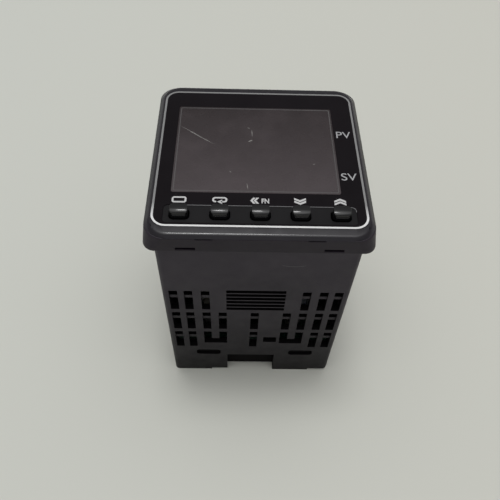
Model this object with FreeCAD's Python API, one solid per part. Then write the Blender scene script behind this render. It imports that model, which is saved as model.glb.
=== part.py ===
"""Panel-mounting temperature controller, 48 x 48 mm front, resting on its terminal end.

Frame: +Z points out of the display face, +Y to the upper edge of the face, origin at the
bottom centre of the housing's rear rim. Millimetres throughout.
"""
import FreeCAD, Part
import math
import os

Vector = FreeCAD.Vector

# ---- General clearances -------------------------------------------------------------
slip_gap = 0.10            # between parts that slide together at assembly
board_gap = 0.40           # round a circuit board that stands free in the housing
cut_over = 1.0             # how far a cutting tool runs past the wall it cuts

# ---- Housing section, from which the front takes its size ---------------------------
case_half = 22.4           # half of the 44.8 mm body behind the panel
case_draft = 0.10          # moulding draft of each wall over its whole length
case_corner = 1.2
case_wall = 1.6

# ---- Front plate --------------------------------------------------------------------
panel_seat_z = 61.4        # depth behind the panel: rear rim to the collar's seat
collar_depth = 3.7         # seat of the collar to the rear rim of the bezel
rim_lip = 1.6              # rim of the front beyond the case: the nominal 48 mm front
rim_half = case_half + rim_lip
rim_corner = 5.0
crease_rise = 0.70         # steep edge of the bezel, rim to crease
crease_inset = 0.80
crown_rise = 0.20          # gentle slope of the bezel, crease to face
sheet_margin_x = 1.4       # rim to the printed front sheet
sheet_margin_y = 2.6
sheet_half_x = rim_half - sheet_margin_x
sheet_half_y = rim_half - sheet_margin_y
sheet_corner = 3.15
sheet_thickness = 0.35
sheet_land = 0.25          # flat lip of the bezel round the sheet's pocket
bezel_wall = 1.6
skirt_depth = 1.9          # rib behind the bezel that centres it in the collar
skirt_wall = 0.9

# ---- Collar -------------------------------------------------------------------------
collar_front_lip = 1.65    # collar beyond the case, at its front and at its seat
collar_rear_lip = 2.0
collar_half_front = case_half + collar_front_lip
collar_half_rear = case_half + collar_rear_lip
collar_corner_front = 4.6
collar_corner_rear = 2.6
case_overlap = 2.0         # how far the case runs into the collar
tool_slot_inset = 7.0      # side of the case to each release slot
tool_slot_x = case_half - tool_slot_inset
tool_slot_width = 4.1
tool_slot_height = 0.7
tool_slot_lift = 0.4       # slot's lower edge above the collar's seat
pry_notch_x = (-11.5, 11.5)  # notches under the bezel's rim to lift the front unit out
pry_notch_width = 3.6
pry_notch_height = 0.3
pry_notch_depth = 0.7

# ---- Front unit hooks ---------------------------------------------------------------
hook_width = 3.6
hook_window_gap = 0.25
hook_height = 0.9
hook_reach = 1.1

# ---- Housing ------------------------------------------------------------------------
foot_step = 0.8            # feet of the rear rim stand this far below the rest of it
left_foot_width = 10.8
right_foot_inset = 5.8
notch_x = (-7.0, 6.2)      # wire notch in the rear rim
notch_height = 9.6

# ---- Vents in the upper and lower walls ---------------------------------------------
vent_width = 2.05
vent_edge = 2.7            # side of the case to the middle of the outermost vents
vent_inner_x = 8.05
vent_squeeze = 0.5         # the outermost vents stand this much nearer their neighbours
vent_height = 8.4
vent_pitch = 9.95
vent_low_z = 14.7
vent_bar_drop = 2.65       # top of a vent to the top of its cross bar
vent_bar = 1.15
vent_bar_recess = 0.6
link_height = 2.6          # cross slot that joins two short vents into a U
link_low_z = 16.8
small_vent_x = (2.7, 6.2)
small_vent_z = (17.5, 20.2)

# ---- Ratchet for the mounting adapter -----------------------------------------------
ratchet_half = 7.1
ratchet_low_z = 34.5
ratchet_teeth = 6
ratchet_pitch = 1.55
ratchet_mouth = 1.2
ratchet_root = 0.55
ratchet_depth = 0.95

# ---- Terminal block -----------------------------------------------------------------
block_recess = 1.3         # rear face of the block above the rear rim
block_depth = 14.1
block_gap = 0.2
channel_width = 10.6
channel_depth = 7.5        # rear face of the block to the terminal pads
channel_side_wall = 1.9
channel_end_wall = 1.9
terminal_rows = 6
barrier_wall = 1.0
barrier_drop = 3.2         # barrier tops below the block's rear face
latch_x = (-12.2, 13.45)
latch_width = 6.7
latch_z = (9.8, 12.5)
latch_reach = 1.2
latch_gap = 0.35

# ---- Terminal hardware --------------------------------------------------------------
strip_end_gap = 0.5        # strip to the channel's wall
strip_side_gap = 0.25      # strip to its barriers
strip_thickness = 0.8
blade_width = 3.0
blade_inset = 0.8          # end of the strip to the middle of its blade
blade_gap = 0.1
blade_tail = 1.2           # blade past the backplane
plate_side_gap = 0.35      # clamp plate to its barriers
plate_thickness = 0.7
screw_head_inset = 0.05    # side of the clamp plate to the screw's head
screw_head_height = 1.9
screw_head_sides = 16
screw_radius = 1.5
screw_length = 5.4
screw_gap = 0.1

# ---- Display stack and display board ------------------------------------------------
window_left = 3.6          # sides of the front sheet to the window
window_right = 5.2
window_top = 5.7
window_low = 3.55          # key field to the window
window_corner = 0.5
window_gap = 0.06
lens_flange = 1.0
lens_flange_step = 0.6
lcd_thickness = 1.7
lcd_ledge = 1.2
backlight_thickness = 2.5
backlight_bevel = 0.3
board_thickness = 1.6
display_board_thickness = 1.2
post_radius = 1.15
post_pilot = 0.55
upper_post_inset = 4.0     # side of the case to the two upper posts
board_screw_head = 1.1
board_screw_head_height = 0.8
board_screw_length = 3.2
pilot_gap = 0.03
pilot_end = 0.4            # pilot hole left below the screw's tip

# ---- Keys ---------------------------------------------------------------------------
key_names = ("level", "cycle", "shift", "down", "up")
key_row_lift = 3.3         # lower edge of the front sheet to the middle of the keys
key_width = 3.75
key_length = 2.4
key_corner = 0.75
key_rise = 1.9             # key top above the face
key_crown = 0.45           # fall of the key top at its lower edge
key_travel = 0.4
key_well_gap = 0.30
key_skirt_gap = 0.125      # ears of the outer keys to the bezel's skirt
key_post_gap = 0.275       # ears to the posts between the keys
key_flange_thickness = 0.8
key_flange_gap = 0.05
key_post = 2.0
strip_below = 2.3          # middle of the keys to the edges of their field
strip_above = 2.5
strip_margin = 2.4         # sides of the front sheet to the key field
strip_corner = 1.0
strip_drop = 0.12

# ---- Key switches -------------------------------------------------------------------
switch_length = 4.6
switch_depth = 3.4
switch_height = 1.5
plunger_radius = 1.0
plunger_gap = 0.06
plunger_rise = 0.5
plunger_seat = 0.2         # least space under a pressed plunger

# ---- Main boards, backplane and links -----------------------------------------------
main_board_inset = 6.7     # inside of the case to the middle of each main board
groove_depth = 0.5
groove_gap = 0.05
main_board_front_gap = 0.8
backplane_thickness = 1.6
socket_width = 5.0
socket_end_gap = 4.8       # inside of the case to the socket's ends
socket_height = 5.0
socket_floor = 1.0
header_width = 2.5
header_half = 8.0
header_length = 6.0
pin_side = 0.64
pin_pitch = 2.54
pin_count = 6

# ---- Parts on the boards ------------------------------------------------------------
# A place is (Y, distance from the front end of the main boards), unless it says otherwise.
transformer_middle_gap = 0.7             # top of the core to the plane between the boards
transformer_width = 16.0
transformer_length = 14.5
transformer_place = (-7.5, 12.6)         # Y and distance from the rear end of the board
transformer_leg = 3.6
transformer_base = 1.6
winding_bulge = 1.2
bulk_capacitor_middle_gap = 0.8
bulk_capacitor_radius = 5.0
bulk_capacitor_place = (12.0, 13.0)      # Y and distance from the rear end of the board
small_capacitor_size = (8.0, 2.5)        # height and radius
small_capacitor_places = ((-15.5, 9.0), (-9.0, 9.0))
component_sides = 24
choke_size = (8.0, 3.0)
choke_place = (4.1, 11.2)
choke_waist = 0.8
choke_flange = 1.2
varistor_size = (9.0, 3.2)               # disc diameter and thickness
varistor_place = (12.5, 9.7)
varistor_lift = 1.6
lead_side = 0.6
lead_pitch = 5.0
output_relay_middle_gap = 2.3
output_relay_size = (10.0, 20.0)
output_relay_place = (-13.0, 17.2)
alarm_relay_middle_gap = 3.3
alarm_relay_size = (7.0, 16.0)
alarm_relay_places = ((-2.0, 17.2), (8.0, 17.2))
relay_corner = 0.5
optocoupler_size = (3.4, 4.6, 6.5)
optocoupler_y = 16.5
optocoupler_rear = 8.0                   # rear end of the board to the first isolator
optocoupler_pitch = 8.2
optocoupler_count = 3
processor_side = 10.0
processor_height = 1.4
processor_place = (0.0, 2.0)

# ---- Derived levels -----------------------------------------------------------------
rim_z = panel_seat_z + collar_depth
crease_z = rim_z + crease_rise
face_z = crease_z + crown_rise
case_front_z = panel_seat_z + case_overlap
bezel_back_z = face_z - bezel_wall
lcd_front_z = bezel_back_z - lens_flange
backlight_front_z = lcd_front_z - lcd_thickness
board_front_z = backlight_front_z - backlight_thickness
board_back_z = board_front_z - display_board_thickness
cavity_half = case_half - case_wall
block_front_z = block_recess + block_depth
backplane_front_z = block_front_z + backplane_thickness
pad_z = block_recess + channel_depth
block_half = cavity_half - block_gap
strip_back_z = pad_z - strip_thickness
plate_back_z = strip_back_z - plate_thickness
head_back_z = plate_back_z - screw_head_height
main_board_rear_z = backplane_front_z + socket_floor
main_board_front_z = board_back_z - main_board_front_gap
column_pitch = block_half - channel_side_wall - channel_width / 2
channel_half = block_half - channel_end_wall
terminal_pitch = (2 * channel_half + barrier_wall) / terminal_rows
bay = terminal_pitch - barrier_wall
strip_length = channel_width - 2 * strip_end_gap
strip_width = bay - 2 * strip_side_gap
blade_offset = strip_length / 2 - blade_inset
plate_side = bay - 2 * plate_side_gap
screw_head_radius = plate_side / 2 - screw_head_inset
column_x = [column_pitch * k for k in (-1, 0, 1)]
row_y = [terminal_pitch * (k - (terminal_rows - 1) / 2) for k in range(terminal_rows)]
vent_pitch_x = (case_half - vent_edge - vent_inner_x + vent_squeeze) / 3
vent_outer_x = (vent_inner_x + vent_pitch_x, vent_inner_x + 2 * vent_pitch_x, case_half - vent_edge)
collar_mouth_half = cavity_half - slip_gap
skirt_half = collar_mouth_half - slip_gap
hollow_half = skirt_half - skirt_wall
key_row_y = -sheet_half_y + key_row_lift
strip_half = sheet_half_x - strip_margin
strip_y = (key_row_y - strip_below, key_row_y + strip_above)
window_x = (-sheet_half_x + window_left, sheet_half_x - window_right)
window_y = (strip_y[1] + window_low, sheet_half_y - window_top)
key_room = hollow_half - key_skirt_gap + post_radius + key_post_gap
key_pitch = key_room / (len(key_names) / 2)      # the keys share the room between the skirt's walls
key_flange = (key_pitch - key_width) / 2 - post_radius - key_post_gap
key_x = [key_pitch * (k - (len(key_names) - 1) / 2) for k in range(len(key_names))]
plunger_top_z = board_front_z + switch_height + plunger_rise
main_board_x = cavity_half - main_board_inset
board_room = main_board_x - board_thickness / 2  # component face to the plane between the boards
transformer_core_height = board_room - transformer_base - transformer_middle_gap


# ---- Helpers ------------------------------------------------------------------------
def block(x, y, z):
    """Rectangular solid between pairs of coordinates."""
    size = (x[1] - x[0], y[1] - y[0], z[1] - z[0])
    return Part.makeBox(size[0], size[1], size[2], Vector(x[0], y[0], z[0]))


def centred(x, y, width, length, z):
    """Rectangular solid centred on a point of the plan."""
    return block((x - width / 2, x + width / 2), (y - length / 2, y + length / 2), z)


def outline(half_x, half_y, corner, z, centre=(0.0, 0.0)):
    """Closed rounded rectangle at height z."""
    corners = ((1, 1, 0), (-1, 1, 90), (-1, -1, 180), (1, -1, 270))
    arcs = []
    for side_x, side_y, start in corners:
        middle = Vector(centre[0] + side_x * (half_x - corner), centre[1] + side_y * (half_y - corner), z)
        turns = [math.radians(start + turn) for turn in (0, 45, 90)]
        arcs.append([middle + Vector(math.cos(turn), math.sin(turn), 0) * corner for turn in turns])
    edges = []
    for index, ends in enumerate(arcs):
        edges.append(Part.Arc(*ends).toShape())
        following = arcs[(index + 1) % len(arcs)][0]
        edges.append(Part.LineSegment(ends[2], following).toShape())
    return Part.Wire(edges)


def plate(half_x, half_y, corner, z, centre=(0.0, 0.0)):
    """Rounded rectangular prism between two heights."""
    base = Part.Face(outline(half_x, half_y, corner, z[0], centre))
    return base.extrude(Vector(0, 0, z[1] - z[0]))


def taper(lower, upper):
    """Ruled solid between two rounded rectangles given as (half_x, half_y, corner, z)."""
    return Part.makeLoft([outline(*lower), outline(*upper)], True, True)


def cylinder(x, y, radius, z):
    """Upright cylinder between two heights."""
    return Part.makeCylinder(radius, z[1] - z[0], Vector(x, y, z[0]))


def facets(x, y, inner_radius, z, sides=6):
    """Upright regular prism that just holds a circle: hidden bores and shanks need no finer form."""
    reach = inner_radius / math.cos(math.pi / sides)
    turns = [2 * math.pi * (k + 0.5) / sides for k in range(sides)]
    corners = [Vector(x + reach * math.cos(turn), y + reach * math.sin(turn), z[0]) for turn in turns]
    return Part.Face(Part.makePolygon(corners + corners[:1])).extrude(Vector(0, 0, z[1] - z[0]))


def frustum(lower_half, upper_half, corner, z):
    """Square frustum with its four upright edges rounded."""
    low, high = -lower_half, -upper_half
    height = z[1] - z[0]
    body = Part.makeWedge(low, 0, low, high, high, lower_half, height, lower_half, upper_half, upper_half)
    body.rotate(Vector(0, 0, 0), Vector(1, 0, 0), 90)
    body.translate(Vector(0, 0, z[0]))
    upright = [edge for edge in body.Edges if edge.BoundBox.ZLength > height / 2]
    return body.makeFillet(corner, upright)


def prism_along_x(points, x):
    """Prism along X from a closed list of (y, z) corners."""
    corners = [Vector(x[0], y, z) for y, z in points]
    face = Part.Face(Part.makePolygon(corners + corners[:1]))
    return face.extrude(Vector(x[1] - x[0], 0, 0))


def both_walls(shape):
    """A shape made at the lower wall (-Y) together with its mirror image at the upper wall."""
    return [shape, shape.mirror(Vector(0, 0, 0), Vector(0, 1, 0))]


def save(name, shape):
    """Write one sub-part."""
    shape.exportStep("parts/" + name + ".step")


def group(solids):
    """Several separate like solids as one sub-part."""
    return Part.makeCompound(solids)


# ---- Housing ------------------------------------------------------------------------
def vent_tools():
    """Cutters for the vents of the lower wall, with each cross bar left recessed."""
    inner = -cavity_half + cut_over
    outer = -case_half - cut_over
    recess = -case_half + vent_bar_recess
    tools = []

    def cell(x, z, depth=inner):
        tools.append(block((x - vent_width / 2, x + vent_width / 2), (outer, depth), z))

    def vent(x, low):
        top = low + vent_height
        bar_top = top - vent_bar_drop
        cell(x, (low, bar_top - vent_bar))
        cell(x, (bar_top, top))
        cell(x, (low, top), recess)

    rows = [vent_low_z + vent_pitch * row for row in range(3)]
    for side in (-1, 1):
        for x in vent_outer_x[1:]:
            for low in rows:
                vent(side * x, low)
        vent(side * vent_outer_x[0], rows[1])
        vent(side * vent_outer_x[0], rows[2])
        vent(side * vent_inner_x, rows[1])
        for x in (vent_outer_x[0], vent_inner_x):
            cell(side * x, (link_low_z, rows[0] + vent_height))
        ends = sorted((side * (vent_inner_x - vent_width / 2), side * (vent_outer_x[0] + vent_width / 2)))
        tools.append(block(ends, (outer, inner), (link_low_z, link_low_z + link_height)))
    vent(0.0, rows[1])
    vent(0.0, rows[0])
    tools.append(block(small_vent_x, (outer, inner), small_vent_z))
    return tools


def ratchet_tools():
    """Saw-tooth grooves of the adapter ratchet in the lower wall."""
    outer = -case_half - cut_over
    floor = -case_half + ratchet_depth
    tools = []
    for tooth in range(ratchet_teeth):
        low = ratchet_low_z + tooth * ratchet_pitch
        slope = (ratchet_mouth - ratchet_root) / ratchet_depth
        mouth = low + ratchet_mouth + slope * cut_over
        corners = [(outer, low), (floor, low), (floor, low + ratchet_root), (outer, mouth)]
        tools.append(prism_along_x(corners, (-ratchet_half, ratchet_half)))
    return tools


def latch_tool(x):
    """Rounded slot for a hook of the terminal block."""
    half_height = (latch_z[1] - latch_z[0]) / 2
    middle_z = (latch_z[0] + latch_z[1]) / 2
    lying = plate(latch_width / 2, half_height, half_height * 0.7, (0, case_wall + 2 * cut_over))
    lying.rotate(Vector(0, 0, 0), Vector(1, 0, 0), 90)
    lying.translate(Vector(x, -cavity_half + cut_over, middle_z))
    return lying


def rear_case():
    """Drafted tube with vents, ratchet, latch slots, board grooves and a footed rear rim."""
    shell = frustum(case_half - case_draft, case_half, case_corner, (0.0, case_front_z))
    cavity = centred(0, 0, 2 * cavity_half, 2 * cavity_half, (-cut_over, case_front_z + cut_over))
    shell = shell.cut(cavity)
    tools = vent_tools() + ratchet_tools()
    tools += [latch_tool(x) for x in latch_x]
    outer = -case_half - cut_over
    inner = -cavity_half + cut_over
    tools.append(block(notch_x, (outer, inner), (-cut_over, notch_height)))
    window_half = hook_width / 2 + hook_window_gap
    window_z = (hook_low_z() - hook_window_gap, hook_low_z() + hook_height + hook_window_gap)
    for side in (-1, 1):
        x = side * tool_slot_x
        tools.append(block((x - window_half, x + window_half), (outer, inner), window_z))
    left_foot_end = -case_half + left_foot_width
    right_foot_end = case_half - right_foot_inset
    for low, high in ((left_foot_end, notch_x[0]), (right_foot_end, case_half + cut_over)):
        tools.append(block((low, high), (outer, inner), (-cut_over, foot_step)))
    for side in (-1, 1):
        x = side * main_board_x
        half = board_thickness / 2 + groove_gap
        groove_y = (-cavity_half - groove_depth, -cavity_half + cut_over)
        tools.append(block((x - half, x + half), groove_y, (block_front_z, case_front_z + cut_over)))
    cutters = []
    for tool in tools:
        cutters += both_walls(tool)
    for side in (-1, 1):
        wall = sorted((side * (cavity_half - cut_over), side * (case_half + cut_over)))
        cutters.append(block(wall, (-cavity_half, cavity_half), (-cut_over, foot_step)))
    return shell.cut(cutters).removeSplitter()


# ---- Collar and bezel ---------------------------------------------------------------
def front_collar():
    """Flange that bears on the panel, open for the case behind and the bezel in front."""
    ring = taper((collar_half_rear, collar_half_rear, collar_corner_rear, panel_seat_z),
                 (collar_half_front, collar_half_front, collar_corner_front, rim_z))
    seat_half = case_half + slip_gap
    seat = plate(seat_half, seat_half, case_corner, (panel_seat_z - cut_over, case_front_z))
    mouth_side = 2 * collar_mouth_half
    mouth = centred(0, 0, mouth_side, mouth_side, (case_front_z - cut_over, rim_z + cut_over))
    slot_low = panel_seat_z + tool_slot_lift
    cutters = [seat, mouth]
    for side in (-1, 1):
        slot = centred(side * tool_slot_x, -collar_half_rear, tool_slot_width, 2 * collar_rear_lip,
                       (slot_low, slot_low + tool_slot_height))
        cutters += both_walls(slot)
    for x in pry_notch_x:
        notch = centred(x, -collar_half_front, pry_notch_width, 2 * pry_notch_depth,
                        (rim_z - pry_notch_height, rim_z + cut_over))
        cutters += both_walls(notch)
    return ring.cut(cutters)


def hook_low_z():
    """Lower edge of the front unit's hooks, level with the release slots."""
    return panel_seat_z + tool_slot_lift


def bezel_hook(x):
    """Sprung arm behind the bezel whose barb snaps into the case's lower wall."""
    outer = -skirt_half
    low = hook_low_z()
    barb = [(outer + skirt_wall, low), (outer, low), (outer - hook_reach, low + hook_height * 0.6),
            (outer - hook_reach, low + hook_height), (outer + skirt_wall, low + hook_height)]
    arm = block((x - hook_width / 2, x + hook_width / 2), (outer, outer + skirt_wall), (low, bezel_back_z))
    return arm.fuse(prism_along_x(barb, (x - hook_width / 2, x + hook_width / 2)))


def post_places():
    """Plan positions of the posts that carry the display board."""
    between_keys = key_pitch * 1.5
    upper = case_half - upper_post_inset
    return [(-upper, upper), (upper, upper), (-between_keys, key_row_y), (between_keys, key_row_y)]


def key_well(x):
    """Half sizes, corner and centre of a key's opening."""
    half_x = key_width / 2 + key_well_gap
    half_y = key_length / 2 + key_well_gap
    return half_x, half_y, key_corner + key_well_gap, (x, key_row_y)


def strip_centre_y():
    """Middle of the key field."""
    return (strip_y[0] + strip_y[1]) / 2


def strip_size(grow=0.0):
    """Half sizes and corner of the key field, grown by a margin."""
    return strip_half + grow, (strip_y[1] - strip_y[0]) / 2 + grow, strip_corner + grow


def window_frame(grow, z, corner):
    """Rounded prism round the display window, grown by a margin."""
    centre = ((window_x[0] + window_x[1]) / 2, (window_y[0] + window_y[1]) / 2)
    half_x = (window_x[1] - window_x[0]) / 2 + grow
    half_y = (window_y[1] - window_y[0]) / 2 + grow
    return plate(half_x, half_y, corner, z, centre)


def window_block(grow, z):
    """Sharp-cornered block in line with the display window, grown by a margin."""
    return block((window_x[0] - grow, window_x[1] + grow), (window_y[0] - grow, window_y[1] + grow), z)


def front_bezel():
    """Front moulding: crowned edges, sheet pocket, window, key wells, skirt, hooks and posts."""
    land_x = sheet_half_x + sheet_land
    land_y = sheet_half_y + sheet_land
    crease_half = rim_half - crease_inset
    crease = (crease_half, crease_half, rim_corner - crease_inset, crease_z)
    shape = taper((rim_half, rim_half, rim_corner, rim_z), crease)
    shape = shape.fuse(taper(crease, (land_x, land_y, sheet_corner + sheet_land, face_z)))
    skirt = plate(skirt_half, skirt_half, case_corner, (rim_z - skirt_depth, rim_z))
    hollow = centred(0, 0, 2 * hollow_half, 2 * hollow_half, (rim_z - skirt_depth - cut_over, bezel_back_z))
    shape = shape.fuse(skirt.cut(hollow))
    shape = shape.cut(hollow)
    pocket = plate(sheet_half_x + slip_gap / 2, sheet_half_y + slip_gap / 2, sheet_corner,
                   (face_z - sheet_thickness, face_z + cut_over))
    half_x, half_y, corner = strip_size(-slip_gap / 2)
    field_z = (face_z - sheet_thickness, face_z - strip_drop)
    field = plate(half_x, half_y, corner, field_z, (0, strip_centre_y()))
    shape = shape.cut(pocket).fuse(field)
    for x, y in post_places():
        shape = shape.fuse(facets(x, y, post_radius, (board_front_z, bezel_back_z), 12))
    for side in (-1, 1):
        for hook in both_walls(bezel_hook(side * tool_slot_x)):
            shape = shape.fuse(hook)
    tools = [window_frame(window_gap, (bezel_back_z - cut_over, face_z + cut_over), window_corner)]
    for x in key_x:
        half_x, half_y, corner, centre = key_well(x)
        tools.append(plate(half_x, half_y, corner, (bezel_back_z - cut_over, face_z + cut_over), centre))
    for x, y in post_places():
        tools.append(facets(x, y, post_pilot, (board_front_z - cut_over, board_front_z + board_screw_length)))
    return shape.cut(tools).removeSplitter()


def face_sheet():
    """Printed front sheet with openings for the window and the key field."""
    z = (face_z - sheet_thickness, face_z)
    cut_z = (z[0] - cut_over, z[1] + cut_over)
    half_x, half_y, corner = strip_size()
    sheet = plate(sheet_half_x, sheet_half_y, sheet_corner, z)
    return sheet.cut([window_frame(window_gap, cut_z, window_corner),
                      plate(half_x, half_y, corner, cut_z, (0, strip_centre_y()))])


# ---- Display ------------------------------------------------------------------------
def display_lens():
    """Smoked window, flush with the face, held by a flange behind the bezel."""
    pane = window_frame(0.0, (bezel_back_z, face_z), window_corner)
    flange = window_block(lens_flange_step, (lcd_front_z, bezel_back_z))
    return pane.fuse(flange).removeSplitter()


def lcd_glass():
    """Liquid crystal cell: the rear glass is longer than the front one by a contact ledge."""
    middle = (lcd_front_z + backlight_front_z) / 2
    front = window_block(0.0, (middle, lcd_front_z))
    ledge = block(window_x, (window_y[0] - lcd_ledge, window_y[1]), (backlight_front_z, middle))
    return front.fuse(ledge).removeSplitter()


def backlight():
    """White light guide between the liquid crystal cell and the display board."""
    guide = window_block(lens_flange_step / 2, (board_front_z, backlight_front_z))
    rear_edges = [edge for edge in guide.Edges if edge.BoundBox.ZMax < board_front_z + slip_gap]
    return guide.makeChamfer(backlight_bevel, rear_edges)


def display_board():
    """Circuit board behind the display, with its four screw holes."""
    side = 2 * (cavity_half - board_gap)
    board = centred(0, 0, side, side, (board_back_z, board_front_z))
    holes = [facets(x, y, post_pilot + slip_gap, (board_back_z - cut_over, board_front_z + cut_over))
             for x, y in post_places()]
    return board.cut(holes)


def board_screws():
    """Four small screws that hold the display board to the bezel's posts."""
    screws = []
    for x, y in post_places():
        head = facets(x, y, board_screw_head, (board_back_z - board_screw_head_height, board_back_z), 12)
        tip_z = board_front_z + board_screw_length - pilot_end
        shank = facets(x, y, post_pilot - pilot_gap, (board_back_z, tip_z))
        screws.append(head.fuse(shank).removeSplitter())
    return group(screws)


# ---- Keys ---------------------------------------------------------------------------
def key_cap(x):
    """One key: crowned top, retaining ears behind the bezel and a post to its switch."""
    top = face_z + key_rise
    flange_top = bezel_back_z - key_flange_gap
    body = plate(key_width / 2, key_length / 2, key_corner, (flange_top, top), (x, key_row_y))
    low_y = key_row_y - key_length / 2
    high_y = key_row_y + key_length / 2
    start = Vector(x, high_y + 0.01, top)
    bend = Vector(x, key_row_y, top)
    end = Vector(x, low_y - 0.01, top - key_crown)
    middle = Vector(x, key_row_y - key_length * 0.33, top - key_crown * 0.3)
    corner_low = Vector(x, low_y - 0.01, flange_top)
    corner_high = Vector(x, high_y + 0.01, flange_top)
    edges = [Part.LineSegment(start, bend).toShape(), Part.Arc(bend, middle, end).toShape(),
             Part.LineSegment(end, corner_low).toShape(), Part.LineSegment(corner_low, corner_high).toShape(),
             Part.LineSegment(corner_high, start).toShape()]
    profile = Part.Face(Part.Wire(edges))
    profile.translate(Vector(-key_width, 0, 0))
    body = body.common(profile.extrude(Vector(2 * key_width, 0, 0)))
    flange_low = flange_top - key_flange_thickness
    flange = centred(x, key_row_y, key_width + 2 * key_flange, key_length, (flange_low, flange_top))
    post = centred(x, key_row_y, key_post, key_post, (plunger_top_z, flange_low))
    return body.fuse([flange, post]).removeSplitter()


def plunger(x):
    """Round plunger of a key switch, under its key's post."""
    low = board_front_z + key_travel + plunger_seat
    return cylinder(x, key_row_y, plunger_radius, (low, plunger_top_z))


def key_switches():
    """Five switch bodies on the display board, bored for their plungers."""
    switches = []
    top = board_front_z + switch_height
    for x in key_x:
        body = centred(x, key_row_y, switch_length, switch_depth, (board_front_z, top))
        bore = facets(x, key_row_y, plunger_radius + plunger_gap, (board_front_z + plunger_seat, top + cut_over))
        switches.append(body.cut(bore))
    return group(switches)


# ---- Terminal block -----------------------------------------------------------------
def blade_x(column):
    """X of a contact blade, on the side of its column that is nearer the housing's middle."""
    return column - blade_offset if column > 0 else column + blade_offset


def blade_slot():
    """Size of the slot that a contact blade passes through."""
    return strip_thickness + 2 * blade_gap, blade_width + 2 * blade_gap


def terminal_block():
    """Moulding with three columns of six barriered terminals and four hooks."""
    body = plate(block_half, block_half, case_corner / 2, (block_recess, block_front_z))
    tools = []
    slot_size = blade_slot()
    barrier_z = block_recess + barrier_drop
    for column in column_x:
        x = (column - channel_width / 2, column + channel_width / 2)
        tools.append(block(x, (-channel_half, channel_half), (block_recess - cut_over, barrier_z)))
        for y in row_y:
            tools.append(centred(column, y, channel_width, bay, (barrier_z - cut_over, pad_z)))
            tools.append(facets(column, y, screw_radius + 2 * screw_gap,
                                (pad_z - cut_over, strip_back_z + screw_length + screw_gap)))
            tools.append(centred(blade_x(column), y, slot_size[0], slot_size[1],
                                 (pad_z - cut_over, block_front_z + cut_over)))
    body = body.cut(tools)
    for x in latch_x:
        half = latch_width / 2 - latch_gap
        low, high = latch_z[0] + latch_gap, latch_z[1] - latch_gap
        root = -block_half + cut_over
        barb = [(root, low), (-block_half, low), (-block_half - latch_reach, low + 0.3),
                (-block_half - latch_reach, low + 0.7), (-block_half, high), (root, high)]
        for hook in both_walls(prism_along_x(barb, (x - half, x + half))):
            body = body.fuse(hook)
    return body.removeSplitter()


def terminal_strips():
    """Plated contact strips on the pads, each with a blade through to the backplane."""
    strips = []
    blade_z = (strip_back_z, backplane_front_z + blade_tail)
    for column in column_x:
        for y in row_y:
            strip = centred(column, y, strip_length, strip_width, (strip_back_z, pad_z))
            blade = centred(blade_x(column), y, strip_thickness, blade_width, blade_z)
            hole = facets(column, y, screw_radius + screw_gap, (strip_back_z - cut_over, pad_z + cut_over))
            strips.append(strip.fuse(blade).cut(hole).removeSplitter())
    return group(strips)


def clamp_plates():
    """Square captive plates under the screw heads."""
    plates = []
    hole_z = (plate_back_z - cut_over, strip_back_z + cut_over)
    for column in column_x:
        for y in row_y:
            clamp = centred(column, y, plate_side, plate_side, (plate_back_z, strip_back_z))
            hole = facets(column, y, screw_radius + screw_gap, hole_z)
            plates.append(clamp.cut(hole))
    return group(plates)


def terminal_screw(x, y):
    """Pan-head screw, head towards the rear."""
    head = facets(x, y, screw_head_radius, (head_back_z, plate_back_z), screw_head_sides)
    shank = facets(x, y, screw_radius, (plate_back_z, plate_back_z + plate_thickness + screw_length))
    return head.fuse(shank).removeSplitter()


def terminal_screws():
    """Eighteen like terminal screws."""
    return group([terminal_screw(column, y) for column in column_x for y in row_y])


# ---- Boards and links ---------------------------------------------------------------
def backplane_board():
    """Board on the terminal block's front face that takes the contact blades."""
    side = 2 * (cavity_half - board_gap)
    board = centred(0, 0, side, side, (block_front_z, backplane_front_z))
    slot_size = blade_slot()
    slot_z = (block_front_z - cut_over, backplane_front_z + cut_over)
    slots = [centred(blade_x(column), y, slot_size[0], slot_size[1], slot_z)
             for column in column_x for y in row_y]
    return board.cut(slots)


def board_sockets():
    """Edge sockets on the backplane for the two main boards."""
    sockets = []
    for side in (-1, 1):
        x = side * main_board_x
        length = 2 * (cavity_half - socket_end_gap)
        body = centred(x, 0.0, socket_width, length, (backplane_front_z, backplane_front_z + socket_height))
        slot = centred(x, 0.0, board_thickness + 2 * groove_gap, 2 * (cavity_half + cut_over),
                       (main_board_rear_z, backplane_front_z + socket_height + cut_over))
        sockets.append(body.cut(slot))
    return group(sockets)


def main_board(side):
    """Upright board whose edges run in the housing's grooves."""
    half = cavity_half + groove_depth - slip_gap
    x = side * main_board_x
    return centred(x, 0.0, board_thickness, 2 * half, (main_board_rear_z, main_board_front_z))


def link_headers():
    """Pin housings on the main boards, just behind the display board."""
    headers = []
    z = (main_board_front_z - header_length, main_board_front_z)
    for side in (-1, 1):
        inner = side * (main_board_x - board_thickness / 2)
        x = sorted((inner, inner - side * header_width))
        headers.append(block(x, (-header_half, header_half), z))
    return group(headers)


def link_pins():
    """Pins from the link headers into the display board."""
    pins = []
    for side in (-1, 1):
        x = side * (main_board_x - board_thickness / 2 - header_width / 2)
        for index in range(pin_count):
            y = pin_pitch * (index - (pin_count - 1) / 2)
            pins.append(centred(x, y, pin_side, pin_side, (main_board_front_z, board_back_z)))
    return group(pins)


# ---- Parts on the main boards -------------------------------------------------------
def board_face(side):
    """X of a main board's component face, which looks towards the housing's middle."""
    return side * (main_board_x - board_thickness / 2)


def from_front(place):
    """(Y, Z) of a place given as (Y, distance from the front end of the main boards)."""
    return place[0], main_board_front_z - place[1]


def from_rear(place):
    """(Y, Z) of a place given as (Y, distance from the rear end of the main boards)."""
    return place[0], main_board_rear_z + place[1]


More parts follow.
